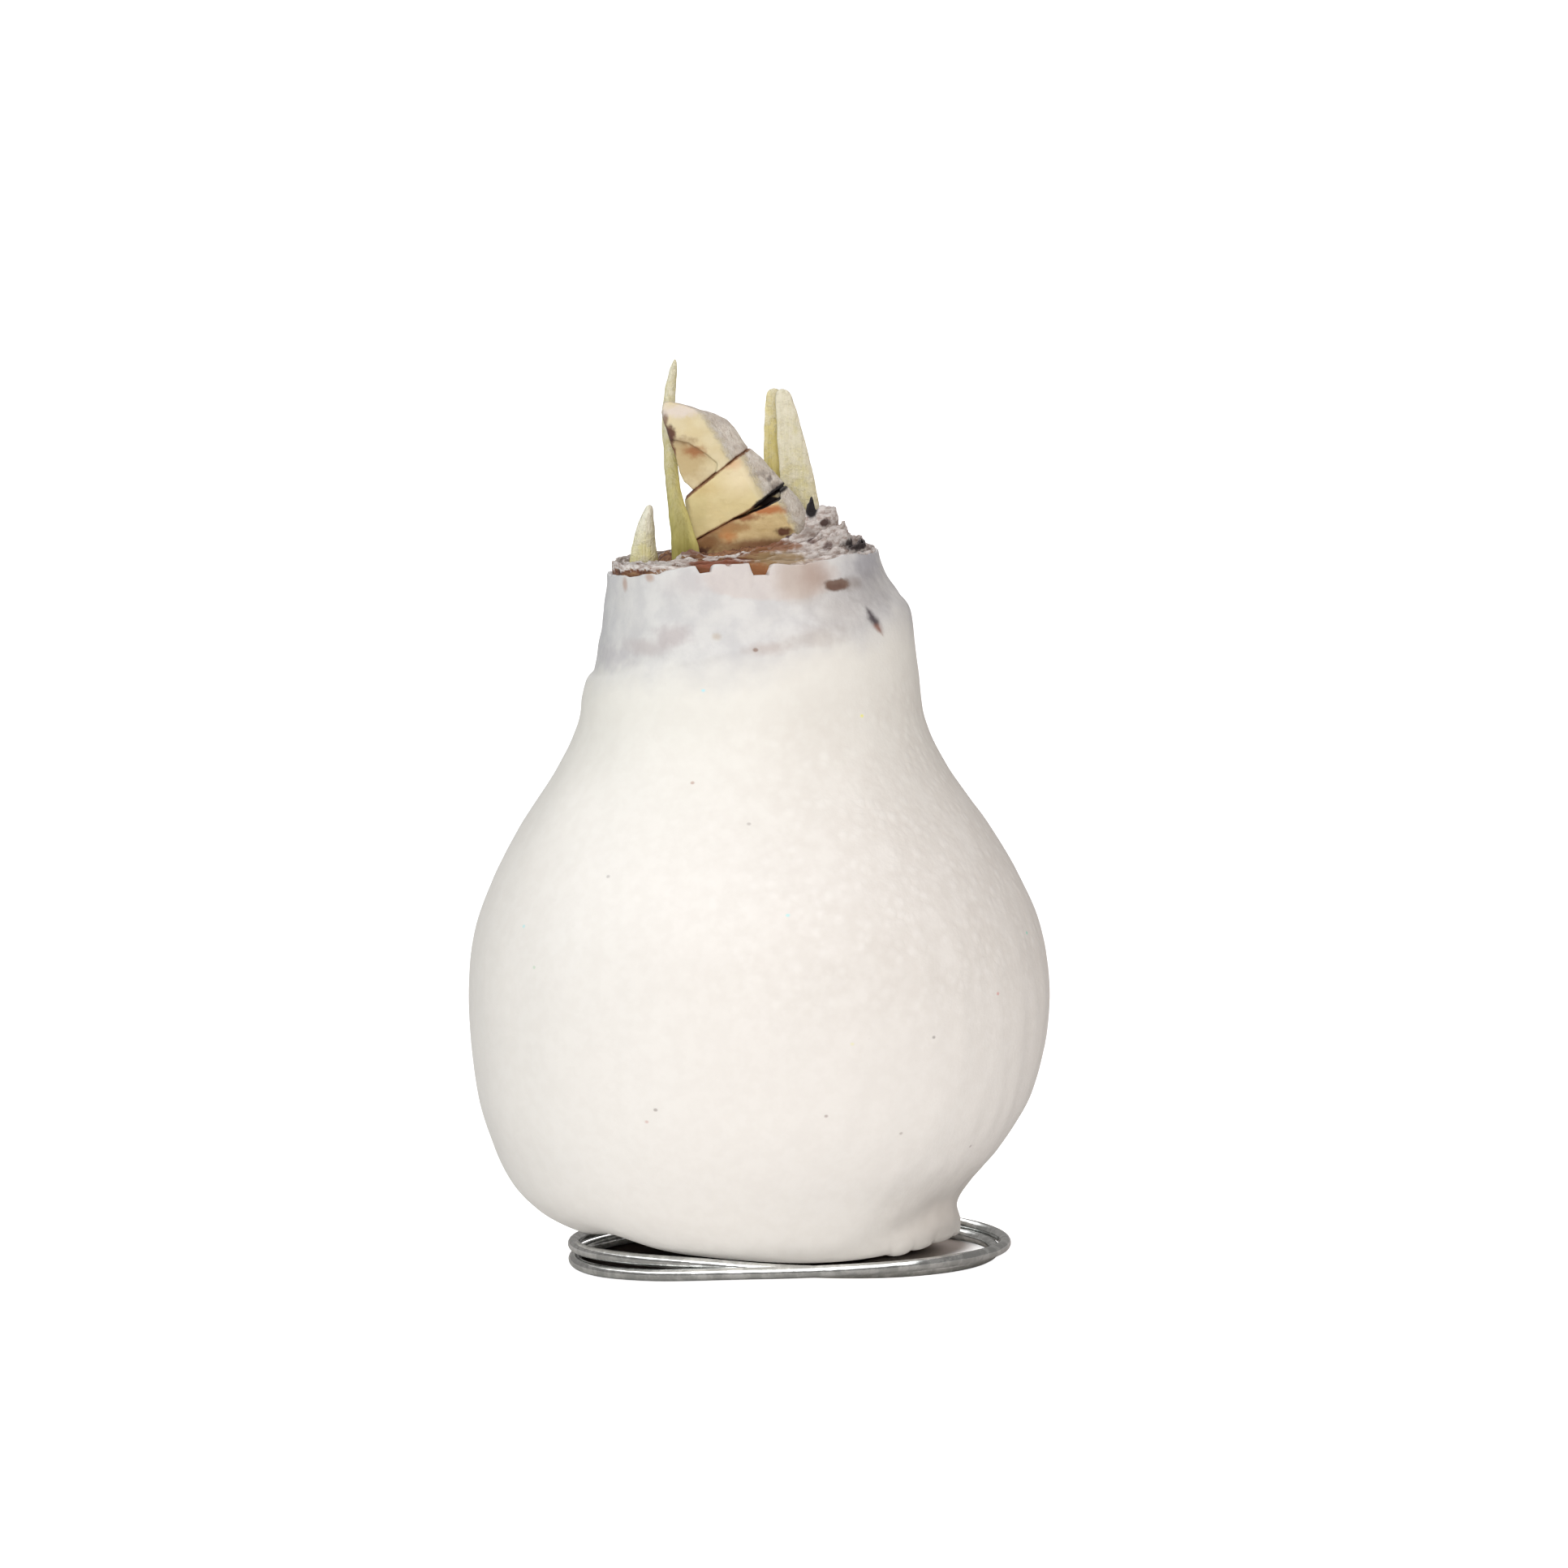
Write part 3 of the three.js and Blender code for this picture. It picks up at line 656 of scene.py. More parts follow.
# Stains, most of them where the neck shows through the thin wax, and some painted shade:
# centre, reach, raggedness, softness, how strong, and colour.
STAINS = [
    ((-22.4, -7.0, 98.0), (3.0, 14, 7.0), 0.3, 0.8, 0.2, rgb(196, 200, 210)),
    ((4.5, -20.0, 103.1), (11.5, 8, 3.3), 0.06, 0.1, 0.4, rgb(222, 206, 198)),
    ((7.6, -18.5, 102.7), (3.8, 8, 3.1), 0.1, 0.45, 0.6, rgb(198, 180, 166)),
    ((9.4, -18.0, 102.9), (1.9, 8, 1.9), 0.25, 0.8, 0.5, rgb(176, 148, 134)),
    ((-8.0, -18.0, 102.4), (4.6, 8, 1.6), 0.3, 0.7, 0.25, rgb(206, 194, 194)),
    ((-11.2, -19.0, 94.8), (2.4, 8, 1.3), 0.4, 0.7, 0.55, rgb(190, 178, 178)),
    ((-15.3, -15.5, 93.0), (3.4, 8, 1.1), 0.4, 0.7, 0.5, rgb(196, 185, 184)),
    ((-20.2, -9.0, 91.3), (3.0, 8, 1.6), 0.4, 0.7, 0.35, rgb(186, 180, 186)),
    ((-18.3, -11.0, 101.9), (0.35, 3, 0.9), 0.2, 0.6, 0.6, rgb(178, 138, 114)),
    ((-14.6, -15.0, 103.2), (0.6, 3, 0.6), 0.3, 0.6, 0.6, rgb(184, 146, 122)),
    ((2.4, -22.7, 92.9), (2.4, 8, 0.8), 0.4, 0.8, 0.45, rgb(190, 172, 164)),
    ((0.7, -22.7, 92.8), (0.36, 4, 0.26), 0.3, 0.5, 0.75, rgb(142, 112, 96)),
    ((-5.0, -22.0, 94.7), (0.7, 4, 0.5), 0.3, 0.6, 0.45, rgb(188, 168, 142)),
    ((9.0, -20.0, 94.4), (4.0, 8, 1.2), 0.5, 0.8, 0.35, rgb(196, 182, 172)),
    # These three grey patches on the right of the neck are partly the grey of the thin wax there
    # and partly painted shade on the side away from the light.
    ((12.8, -15.6, 97.6), (4.0, 8, 2.8), 0.3, 0.8, 0.55, rgb(188, 182, 178)),
    ((17.6, -10.0, 104.2), (2.4, 8, 2.6), 0.3, 0.7, 0.65, rgb(160, 160, 170)),
    ((17.5, -10.0, 100.6), (3.2, 8, 3.0), 0.3, 0.8, 0.5, rgb(164, 160, 160)),
    ((14.8, -14.4, 101.5), (1.6, 6, 0.9), 0.3, 0.7, 0.6, rgb(150, 138, 132)),
    ((12.9, -15.6, 101.5), (1.9, 6, 0.85), 0.25, 0.25, 0.9, rgb(112, 82, 64)),
    ((12.7, -15.6, 101.2), (1.3, 6, 0.5), 0.3, 0.6, 0.5, rgb(96, 62, 48)),
    # Painted shade: the swollen foot on the right, in the shadow of the bulb above it, painted
    # greyer.
    ((28.0, -14.0, 8.5), (10.0, 13, 6.0), 0.2, 0.9, 0.4, rgb(176, 166, 158)),
    ((4.0, 20.5, 98.0), (6.0, 8, 2.6), 0.5, 0.5, 0.5, rgb(192, 170, 160)),
    ((-13.0, 17.0, 95.0), (3.6, 8, 2.0), 0.5, 0.5, 0.6, rgb(170, 150, 142)),
    ((19.5, 4.0, 99.0), (6.0, 5, 3.0), 0.5, 0.5, 0.4, rgb(190, 176, 172)),
]
# A split in the thin wax, down which the dark neck shows: x and height of its top and foot, its
# half width, and how far down it is widest.
SPLIT_TOP = (17.0, 98.1)
SPLIT_FOOT = (19.1, 94.2)
SPLIT_HALF_WIDTH = 1.0
SPLIT_WIDEST = 0.55
# Specks of dirt and of glitter in the wax: centre, strength, and colour. The bright glitter
# specks are partly the glitter's own colour and partly a painted glint.
SPECKS = [
    ((20.3, -11.6, 93.6), 0.8, rgb(190, 148, 118)),
    ((-8.9, -27.4, 74.0), 0.55, rgb(176, 128, 104)),
    ((-0.8, -32.3, 68.3), 0.4, rgb(150, 136, 130)),
    ((-21.4, -30.5, 60.9), 0.4, rgb(140, 130, 126)),
    ((-15.2, -39.0, 27.7), 0.5, rgb(120, 96, 90)),
    ((-16.5, -38.0, 25.9), 0.4, rgb(206, 140, 130)),
    ((25.2, -34.8, 36.9), 0.55, rgb(120, 110, 106)),
    ((9.4, -40.0, 26.4), 0.5, rgb(140, 106, 100)),
    ((20.2, -34.2, 22.9), 0.45, rgb(150, 132, 124)),
    ((30.4, -21.8, 19.2), 0.45, rgb(140, 116, 112)),
    ((34.9, -25.0, 41.9), 0.5, rgb(222, 110, 104)),
    ((16.0, -40.5, 37.5), 0.3, rgb(150, 130, 120)),
    ((8.0, -36.0, 60.0), 0.3, rgb(160, 140, 130)),
    ((-7.1, -23.3, 87.1), 0.9, rgb(196, 246, 255)),
    ((16.0, -19.3, 82.5), 0.9, rgb(252, 250, 150)),
    ((-34.0, -22.8, 53.1), 0.7, rgb(190, 248, 250)),
    ((4.5, -39.3, 55.6), 0.8, rgb(190, 248, 250)),
    ((39.6, -13.0, 49.4), 0.9, rgb(150, 240, 214)),
    ((13.4, -40.8, 36.9), 0.6, rgb(246, 244, 190)),
    ((-32.5, -27.1, 47.5), 0.5, rgb(196, 226, 196)),
    ((22.0, 33.0, 44.0), 0.5, rgb(130, 110, 104)),
    ((-18.0, 36.0, 30.0), 0.5, rgb(140, 116, 108)),
    ((-36.0, 20.0, 40.0), 0.8, rgb(190, 248, 250)),
    ((6.0, 34.0, 64.0), 0.8, rgb(252, 250, 160)),
]
SPECK_REACH = (0.3, 0.3, 0.22)


def split_mask(tree, x, height, wander):
    """Where the split in the wax of the neck lies, from 0 to 1, and how far down it a point is."""
    run, drop = SPLIT_FOOT[0] - SPLIT_TOP[0], SPLIT_FOOT[1] - SPLIT_TOP[1]
    down = maths(tree, "DIVIDE", maths(tree, "SUBTRACT", height, SPLIT_TOP[1]), drop)
    line = maths(tree, "MULTIPLY_ADD", down, run, SPLIT_TOP[0])
    off = maths(tree, "ABSOLUTE", maths(tree, "SUBTRACT", x, line))
    middle = maths(tree, "MULTIPLY", maths(tree, "SUBTRACT", down, SPLIT_WIDEST), 1.4)
    tapered = maths(tree, "POWER", maths(tree, "ABSOLUTE", middle), 2)
    off = maths(tree, "MULTIPLY_ADD", tapered, 1.1, off)
    off = maths(tree, "MULTIPLY_ADD", maths(tree, "SUBTRACT", wander, 0.5), 0.5, off)
    return maths(tree, "SUBTRACT", 1.0, ease(tree, off, 0.1, SPLIT_HALF_WIDTH)), down


def marked(tree, name):
    """The value that each point of the mesh carries under a name."""
    return shade(tree, "Attribute", attribute_name=name).outputs["Fac"]


def pebbling(tree, place, x, height, above_lip):
    """The height of the wax's pebbles, and how much of them shows: they cover the shoulder
    and the upper belly, in patches, more on the right."""
    high_up = ease(tree, height, 26.0, 52.0)
    under_lip = ease(tree, above_lip, -5.0, -14.0)
    band = maths(tree, "MULTIPLY", high_up, under_lip)
    more = maths(tree, "MULTIPLY_ADD", ease(tree, x, -16.0, 20.0), 0.8, 0.2)
    patchy = ease(tree, soft_noise(tree, place, 7.0, detail=2), 0.25, 0.55)
    pebbled = maths(tree, "MULTIPLY", maths(tree, "MULTIPLY", band, more), patchy)
    cells = shade(tree, "TexVoronoi", {"Vector": place, "Scale": 0.5}).outputs["Distance"]
    return maths(tree, "SUBTRACT", 1.0, ease(tree, cells, 0.05, 0.6)), pebbled


def make_wax_finish():
    """White wax: creamy and satin, pebbled like orange peel, thin and greyish on the neck."""
    material, tree, shader = new_finish("white wax", roughness=0.42)
    place = in_millimetres(tree)
    x, depth, height = shade(tree, "SeparateXYZ", {0: place}).outputs
    above_lip = marked(tree, "above the lip")
    waver = maths(tree, "SUBTRACT", soft_noise(tree, place, 6.0, detail=2), 0.5)
    thin = ease(tree, maths(tree, "MULTIPLY_ADD", waver, 6.0, above_lip), -5.5, 2.6)
    pebbles, pebbled = pebbling(tree, place, x, height, above_lip)

    cloud = soft_noise(tree, place, 14.0, detail=3)
    cream = paint(tree, cloud, rgb(250, 246, 240), rgb(253, 250, 245))
    upper = maths(tree, "MULTIPLY", ease(tree, height, 55.0, 88.0), 0.8)
    cream = paint(tree, upper, cream, rgb(244, 242, 234))
    mottle = ease(tree, soft_noise(tree, place, 2.2, detail=4, roughness=0.6), 0.36, 0.64)
    faint = maths(tree, "MULTIPLY", mottle, maths(tree, "MULTIPLY_ADD", pebbled, 0.12, 0.1))
    cream = paint(tree, faint, cream, rgb(226, 219, 210))
    # Painted shade in the hollows between the pebbles.
    hollow_shade = maths(tree, "MULTIPLY", maths(tree, "SUBTRACT", 1.0, pebbles), pebbled)
    cream = paint(tree, maths(tree, "MULTIPLY", hollow_shade, 0.25), cream, rgb(225, 218, 209))
    veil = soft_noise(tree, place, 4.0, detail=4, roughness=0.6)
    thin_colour = paint(tree, ease(tree, veil, 0.32, 0.68), rgb(214, 213, 213), rgb(228, 227, 225))
    colour = paint(tree, thin, cream, thin_colour)
    colour = stain(tree, place, colour, STAINS, 0.5)
    split, down = split_mask(tree, x, height, soft_noise(tree, place, 0.8))
    split = maths(tree, "MULTIPLY", split, maths(tree, "LESS_THAN", depth, 0.0))
    split_colour = paint(tree, ease(tree, down, 0.55, 0.8), rgb(86, 78, 82), rgb(156, 116, 104))
    colour = paint(tree, split, colour, split_colour)
    for centre, strength, speck in SPECKS:
        mask = patch(tree, place, centre, SPECK_REACH, 0.15, 1.2, 0.5)
        colour = paint(tree, maths(tree, "MULTIPLY", mask, strength), colour, speck)
    tree.links.new(colour, shader.inputs["Base Color"])

    skin = maths(tree, "MULTIPLY", soft_noise(tree, place, 0.9, detail=3.0), 0.16)
    neck_grain = maths(tree, "MULTIPLY", soft_noise(tree, place, 1.0, detail=4.0), thin)
    bumps = maths(tree, "MULTIPLY", maths(tree, "MULTIPLY", pebbles, pebbled), 0.2)
    rise = maths(tree, "ADD", bumps, skin)
    relief(tree, shader, maths(tree, "MULTIPLY_ADD", neck_grain, 0.25, rise), 0.3)
    return material


COAT_ROWS = coat_rows()
coat = make_tube(
    len(COAT_ROWS),
    COAT_FACETS,
    lambda row, angle: coat_surface(*COAT_ROWS[row], angle),
    joined=True,
    marks={
        "above the lip": lambda at, row, angle: (
            at.z - read_off(LIP_LINE, math.degrees(angle) % 360)
        )
    },
)
finish_piece(coat, "wax_dip", make_wax_finish(), ["wax_coat"])

# ---------------------------------------------------------------- skins of the neck
# The dry papery skins of the bulb, torn off in rings at the top of the neck. They are brown
# and fibrous, and the wax has dusted their torn edges white.

# Each skin: radius, mean height, rise to the right, lean outwards, how ragged, seed.
SKINS = [
    (19.2, 105.2, 0.6, 0.2, 0.35, 0.4),
    (18.1, 105.7, 1.1, -0.2, 0.55, 1.7),
    (17.1, 105.3, 1.6, 0.3, 0.7, 3.2),
    (16.1, 106.3, 1.7, -0.3, 0.8, 5.0),
    (15.2, 106.0, 2.5, 0.3, 0.9, 6.6),
    (14.3, 107.0, 3.2, -0.1, 1.1, 8.1),
]
SKIN_WALL = 0.45
SKIN_FOOT = 96.0
SKIN_ROWS = 18
SKIN_FACETS = 320
# Bare and dried places, and one painted shadow: centre, reach, raggedness, softness, how strong,
# and colour.
DRIED = [
    ((1.4, -19.2, 104.2), (3.0, 3, 1.5), 0.2, 0.3, 0.9, rgb(150, 100, 62)),
    ((-7.0, -17.8, 104.4), (2.4, 3, 1.2), 0.2, 0.3, 0.9, rgb(118, 72, 46)),
    ((4.0, -14.8, 107.2), (4.8, 3, 0.75), 0.35, 0.4, 0.9, rgb(146, 100, 68)),
    ((8.6, -12.6, 109.0), (1.3, 4, 0.8), 0.4, 0.5, 0.6, rgb(128, 110, 100)),
    ((4.4, -17.0, 105.6), (4.2, 4, 1.0), 0.35, 0.4, 0.85, rgb(162, 136, 98)),
    ((2.0, -15.0, 107.6), (4.4, 4, 0.55), 0.4, 0.4, 0.85, rgb(128, 84, 60)),
    ((-9.0, -13.0, 106.6), (4.0, 5, 0.5), 0.4, 0.4, 0.85, rgb(116, 72, 48)),
    ((-5.0, -18.0, 105.4), (4.6, 2.5, 0.7), 0.4, 0.4, 0.85, rgb(140, 84, 62)),
    ((16.8, -6.5, 106.6), (2.9, 9, 0.9), 0.2, 0.3, 1.0, rgb(46, 34, 33)),
    ((11.5, -12.0, 106.9), (0.9, 5, 0.5), 0.5, 0.4, 0.8, rgb(110, 88, 84)),
    ((9.2, -12.6, 107.6), (0.8, 5, 0.35), 0.5, 0.4, 0.8, rgb(100, 76, 72)),
    ((11.2, -9.0, 110.0), (0.8, 5, 0.6), 0.4, 0.3, 0.95, rgb(70, 44, 38)),
    ((5.4, -13.0, 108.9), (1.0, 4, 0.6), 0.4, 0.3, 0.95, rgb(70, 38, 30)),
    # Painted shadow: the shard at the foot of the right leaves is painted very dark for the shaded
    # gap between it and the leaf.
    ((9.3, -10.0, 112.6), (1.0, 5, 1.7), 0.1, 0.2, 1.0, rgb(26, 20, 22)),
]


def skin_top(skin, angle):
    """The torn edge of a skin: waves, teeth and a few deep rips."""
    radius, height, rise, _, ragged, seed = skin
    at = Vector((math.cos(angle), math.sin(angle), 0)) * radius
    waves = lumps(at, 6, seed) + 0.5 * lumps(at, 2.2, seed + 4) + 0.35 * lumps(at, 0.8, seed + 9)
    inner = between(radius, 17.2, 14.3)
    flake = 2.1 * (1 - between(away(angle, 332), 12, 23)) * inner
    shard = 2.6 * (1 - between(away(angle, 314.5), 2.2, 5.5)) if radius < 15 else 0
    lap = 1.3 * lobe(angle, 235, 13) * between(radius, 16.3, 14.8)
    return height + rise * math.cos(angle) + ragged * waves + flake + shard + lap


def skin_height(skin, row, angle):
    """Rows go up the outside of a skin and down its inside."""
    top = skin_top(skin, angle)
    step = row if row < SKIN_ROWS else 2 * SKIN_ROWS - 1 - row
    return SKIN_FOOT + (top - SKIN_FOOT) * (step / (SKIN_ROWS - 1)) ** 0.5


def skin_point(skin, row, angle):
    radius, _, _, lean, _, seed = skin
    top, height = skin_top(skin, angle), skin_height(skin, row, angle)
    high_up = between(height, top - 4, top)
    at = ring_point(math.degrees(angle), radius, height)
    crease = 0.4 * lumps((at.x, at.y, at.z / 3), 2.6, seed) * high_up
    crumple = (0.16 + 0.14 * lobe(angle, 330, 34)) * lumps(at, 0.9, seed + 5) * high_up
    curl = lean * high_up**2 * (1 + lumps(at, 5, seed + 2))
    wall = 0 if row < SKIN_ROWS else SKIN_WALL * (1 - 0.5 * high_up)
    reach = radius + crease + crumple + curl - wall
    return ring_point(math.degrees(angle), reach, height, NECK_X)


def make_skin_finish():
    """Brown paper with fibres running round it, dusted with wax along its torn edges and all
    over on the right."""
    material, tree, shader = new_finish("papery skin", roughness=0.75)
    place = in_millimetres(tree)
    axes = shade(tree, "SeparateXYZ", {0: place}).outputs
    fibre = soft_noise(tree, place, 0.5, detail=4, stretch=(5, 5, 1))
    blotch = soft_noise(tree, place, 3.0, detail=4)
    brown = paint(tree, ease(tree, fibre, 0.35, 0.65), rgb(106, 62, 44), rgb(158, 122, 88))
    brown = paint(tree, ease(tree, blotch, 0.52, 0.68), brown, rgb(82, 48, 38))
    dust = soft_noise(tree, place, 1.3, detail=4, roughness=0.65, stretch=(2, 2, 1))
    streaks = soft_noise(tree, place, 0.5, detail=4, roughness=0.6, stretch=(3, 3, 1))
    to_right = ease(tree, axes["X"], 3.0, 9.0)
    to_left = ease(tree, axes["X"], -4.0, -10.0)
    reach = maths(
        tree, "MULTIPLY_ADD", to_right, 7.0, maths(tree, "MULTIPLY_ADD", to_left, 0.75, 0.1)
    )
    reach = maths(tree, "MULTIPLY_ADD", maths(tree, "SUBTRACT", dust, 0.5), 4.5, reach)
    bare = maths(tree, "SUBTRACT", marked(tree, "below torn edge"), reach)
    dusted = maths(tree, "SUBTRACT", 1.0, ease(tree, bare, -0.15, 0.35))
    white = paint(tree, ease(tree, streaks, 0.36, 0.58), rgb(184, 168, 160), rgb(232, 226, 222))
    colour = paint(tree, dusted, brown, white)
    colour = stain(tree, place, colour, DRIED, 0.9)
    tree.links.new(colour, shader.inputs["Base Color"])
    relief(tree, shader, maths(tree, "ADD", fibre, maths(tree, "MULTIPLY", dust, 0.8)), 0.2)
    return material


skin_finish = make_skin_finish()
for number, skin in enumerate(SKINS, 1):
    torn = make_tube(
        2 * SKIN_ROWS,
        SKIN_FACETS,
        lambda row, angle: skin_point(skin, row, angle),
        joined=True,
        marks={
            "below torn edge": lambda at, row, angle: skin_top(skin, angle) - at.z
        },
    )
    finish_piece(torn, f"torn_skin_{number}", skin_finish, ["neck_tunics"])

# ---------------------------------------------------------------- young leaves
# Young leaves push up out of the neck: thick, strap-like and yellow-green, with veins along
# them, and dusted white by the wax. The two on the right lie face to face.

# Each leaf: its midline from the root up with the half width, its half thickness, how far
# it is turned, and how much it is cupped.
LEAVES = {
    "leaf_left": (
        [
            (-15.5, -3.0, 99.5, 2.1),
            (-15.5, -3.0, 104.5, 2.1),
            (-15.4, -3.0, 107.0, 1.75),
            (-15.1, -2.9, 109.7, 1.3),
            (-14.5, -2.8, 112.9, 0.45),
        ],
        (0.8, 4, 0.5),
    ),
    "leaf_mid": (
        [
            (-9.3, -8.9, 99.5, 2.1),
            (-9.3, -8.9, 105.6, 2.1),
            (-9.7, -8.6, 109.0, 1.75),
            (-10.9, -5.5, 115.0, 1.1),
            (-11.3, -1.4, 119.8, 1.0),
            (-11.5, 1.2, 124.5, 0.95),
            (-11.2, 2.2, 129.0, 0.85),
            (-10.3, 2.6, 134.0, 0.4),
        ],
        (0.55, -6, 0.35),
    ),
    "leaf_right_inner": (
        [
            (5.2, 5.8, 99.5, 2.6),
            (5.2, 5.8, 106.4, 2.6),
            (4.8, 5.8, 112.0, 2.5),
            (4.5, 5.7, 119.0, 2.1),
            (4.2, 5.6, 124.5, 1.6),
            (4.2, 5.5, 129.2, 1.1),
        ],
        (0.6, 8, -0.3),
    ),
    "leaf_right_outer": (
        [
            (7.7, 3.9, 99.5, 3.2),
            (7.7, 3.9, 106.4, 3.2),
            (7.7, 3.9, 111.0, 2.9),
            (7.2, 3.9, 116.5, 2.5),
            (6.2, 3.8, 124.0, 1.8),
            (5.4, 3.7, 129.2, 1.1),
        ],
        (0.65, 8, -0.3),
    ),
}
# Each leaf's colours low down and high up, how much wax is on it low and high, the colour of
# its edge, and which edge that is: 1 for the right, -1 for the left.
LEAF_COLOURS = {
    "leaf_left": (rgb(238, 231, 178), rgb(250, 247, 226), 0.35, 0.75, rgb(212, 204, 146), 1),
    "leaf_mid": (rgb(152, 142, 74), rgb(246, 238, 200), 0.0, 0.55, rgb(210, 200, 124), 1),
    "leaf_right_inner": (rgb(212, 198, 112), rgb(240, 228, 172), 0.1, 0.45, rgb(196, 184, 108), 1),
    "leaf_right_outer": (rgb(236, 227, 166), rgb(244, 237, 200), 0.4, 0.6, rgb(216, 204, 168), 1),
}
LEAF_STATIONS = 70
LEAF_FACETS = 40
LEAF_TIP = 0.93


def leaf_point(name, row, angle):
    """Level ovals up the midline, cupped and turned, with a rounded tip and soft dents."""
    midline, (half_thickness, turned, cup) = LEAVES[name]
    share = row / (LEAF_STATIONS - 1)
    x, y, z, half_width = along(midline, (len(midline) - 1) * share)
    near_tip = max(0, (share - LEAF_TIP) / (1 - LEAF_TIP))
    half_width *= math.sqrt(max(1 - near_tip**2, 0.02))
    half = min(half_thickness, half_width)
    across = half_width * math.cos(angle)
    through = half * math.sin(angle) + cup * math.cos(angle) ** 2 * min(1, half_width)
    facing = math.radians(turned)
    point = Vector(
        (
            x + across * math.cos(facing) - through * math.sin(facing),
            y + across * math.sin(facing) + through * math.cos(facing),
            z,
        )
    )
    outward = Vector((math.cos(angle + facing), math.sin(angle + facing), 0))
    dents = 0.1 * lumps(point, 1.7, len(name)) + 0.04 * lumps(point, 0.6, 2 * len(name))
    return point + outward * dents


def make_leaf_finish(name):
    """A leaf's skin: long veins, a change of green up its length, and frosting of wax."""
    low_colour, high_colour, low_frost, high_frost, edge_colour, side = LEAF_COLOURS[name]
    midline = LEAVES[name][0]
    material, tree, shader = new_finish(name.replace("_", " "), roughness=0.5)
    place = in_millimetres(tree)
    height = shade(tree, "SeparateXYZ", {0: place}).outputs["Z"]
    up = ease(tree, height, midline[1][2], midline[-1][2])
    vein = soft_noise(tree, place, 0.32, detail=2, stretch=(1, 1, 14))
    cloud = soft_noise(tree, place, 1.6, detail=2, stretch=(1, 1, 5))
    green = paint(tree, up, low_colour, high_colour)
    darker = paint(tree, 1.0, green, rgb(240, 239, 222))
    darker.node.blend_type = "MULTIPLY"
    green = paint(tree, ease(tree, vein, 0.42, 0.62), green, darker)
    clouded = maths(tree, "MULTIPLY", ease(tree, cloud, 0.4, 0.7), 0.3)
    green = paint(tree, clouded, green, edge_colour)
    # The right edge takes the edge colour: partly the leaf's own colour there, partly painted
    # shade on the side turned from the light.
    at_edge = ease(tree, maths(tree, "MULTIPLY", marked(tree, "across"), side), 0.35, 0.95)
    green = paint(tree, maths(tree, "MULTIPLY", at_edge, 0.75), green, edge_colour)
    frost = soft_noise(tree, place, 1.8, detail=4, roughness=0.7)
    spread = maths(tree, "MULTIPLY_ADD", up, high_frost - low_frost, low_frost)
    frosted = ease(tree, maths(tree, "ADD", frost, spread), 0.75, 1.15)
    colour = paint(tree, maths(tree, "MULTIPLY", frosted, 0.65), green, rgb(244, 240, 224))
    grit = soft_noise(tree, place, 0.45, detail=3, roughness=0.7)
    gritty = maths(tree, "MULTIPLY", ease(tree, grit, 0.52, 0.66), ease(tree, spread, 0.1, 0.6))
    colour = paint(tree, maths(tree, "MULTIPLY", gritty, 0.35), colour, rgb(190, 182, 146))
    tree.links.new(colour, shader.inputs["Base Color"])
    rise = maths(tree, "MULTIPLY_ADD", grit, ease(tree, spread, 0.0, 0.6), vein)
    relief(tree, shader, maths(tree, "MULTIPLY_ADD", frosted, 0.8, rise), 0.2)
    return material


for name in LEAVES:
    blade = make_tube(
        LEAF_STATIONS,
        LEAF_FACETS,
        lambda row, angle: leaf_point(name, row, angle),
        marks={"across": lambda at, row, angle: math.cos(angle)},
    )
    finish_piece(blade, name.replace("leaf", "blade"), make_leaf_finish(name), [name])

# ---------------------------------------------------------------- cut leaf bases
# Three old leaf bases, one on another, each cut off on a slant with a knife. Their cut faces
# are cream and tan with brown edges, and wax has greyed their outer sides.

# How fine the faces of the bases are, how often they are worn down, how far their surface
# wanders, and where the front and the back of the stack lie.
CUT_VOXEL = 0.2
CUT_WEAR = 8
CUT_WANDER = 0.14
CUT_FRONT = -6.2
CUT_BACK = 2.2
# Where the flat cut face of each base ends on the right and its outer side turns back: height
# and x. The side falls back by this much for each millimetre across.
FACE_EDGES = {
    "cut_base_top": [(114, -1.8), (119.7, -2.6), (123.0, -4.6), (126.6, -6.9), (128.5, -9.6)],
    "cut_base_mid": [(110, 3.6), (113.2, 1.7), (119.4, -1.6), (121, -2.4)],
    "cut_base_low": [(104, 8.6), (108.5, 7.0), (111.4, 5.3), (114.5, 3.9)],
}
SIDE_FALL = 0.85
# The two cuts between the bases: the way across them, how far each wall is drawn in to the
# middle, and x and height along the middle of each.
CUT_NORMAL = Vector((-0.54, 0, 0.84)).normalized()
CUT_CLOSING = 0.16
LOW_CUT = [(-13, 104.8), (-8.5, 107.4), (-2.6, 110.5), (0.5, 112.1), (4.3, 114.6), (12, 119.3)]
TOP_CUT = [(-14, 110.2), (-7.6, 115.2), (-2.1, 119.4), (4, 123.2)]


def under_cut(x, z):
    """How far a place lies under the nearer of the two cuts. Above it the number is below 0."""
    return min((read_off(cut, x) - z for cut in (LOW_CUT, TOP_CUT)), key=abs)


def rebuilt_copy(node):
    """A merged copy of a solid, rebuilt in small even faces."""
    bm = bmesh.new()
    bm.from_mesh(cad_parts[node].data)
    bmesh.ops.remove_doubles(bm, verts=bm.verts[:], dist=1e-6)
    mesh = bpy.data.meshes.new(node)
    bm.to_mesh(mesh)
    bm.free()
    rough = bpy.data.objects.new("rough", mesh)
    bpy.context.collection.objects.link(rough)
    remesh = rough.modifiers.new("even faces", "REMESH")
    remesh.mode = "VOXEL"
    remesh.voxel_size = CUT_VOXEL * MM
    even = bpy.data.meshes.new_from_object(
        rough.evaluated_get(bpy.context.evaluated_depsgraph_get())
    )
    bpy.data.objects.remove(rough)
    bm = bmesh.new()
    bm.from_mesh(even)
    return bm


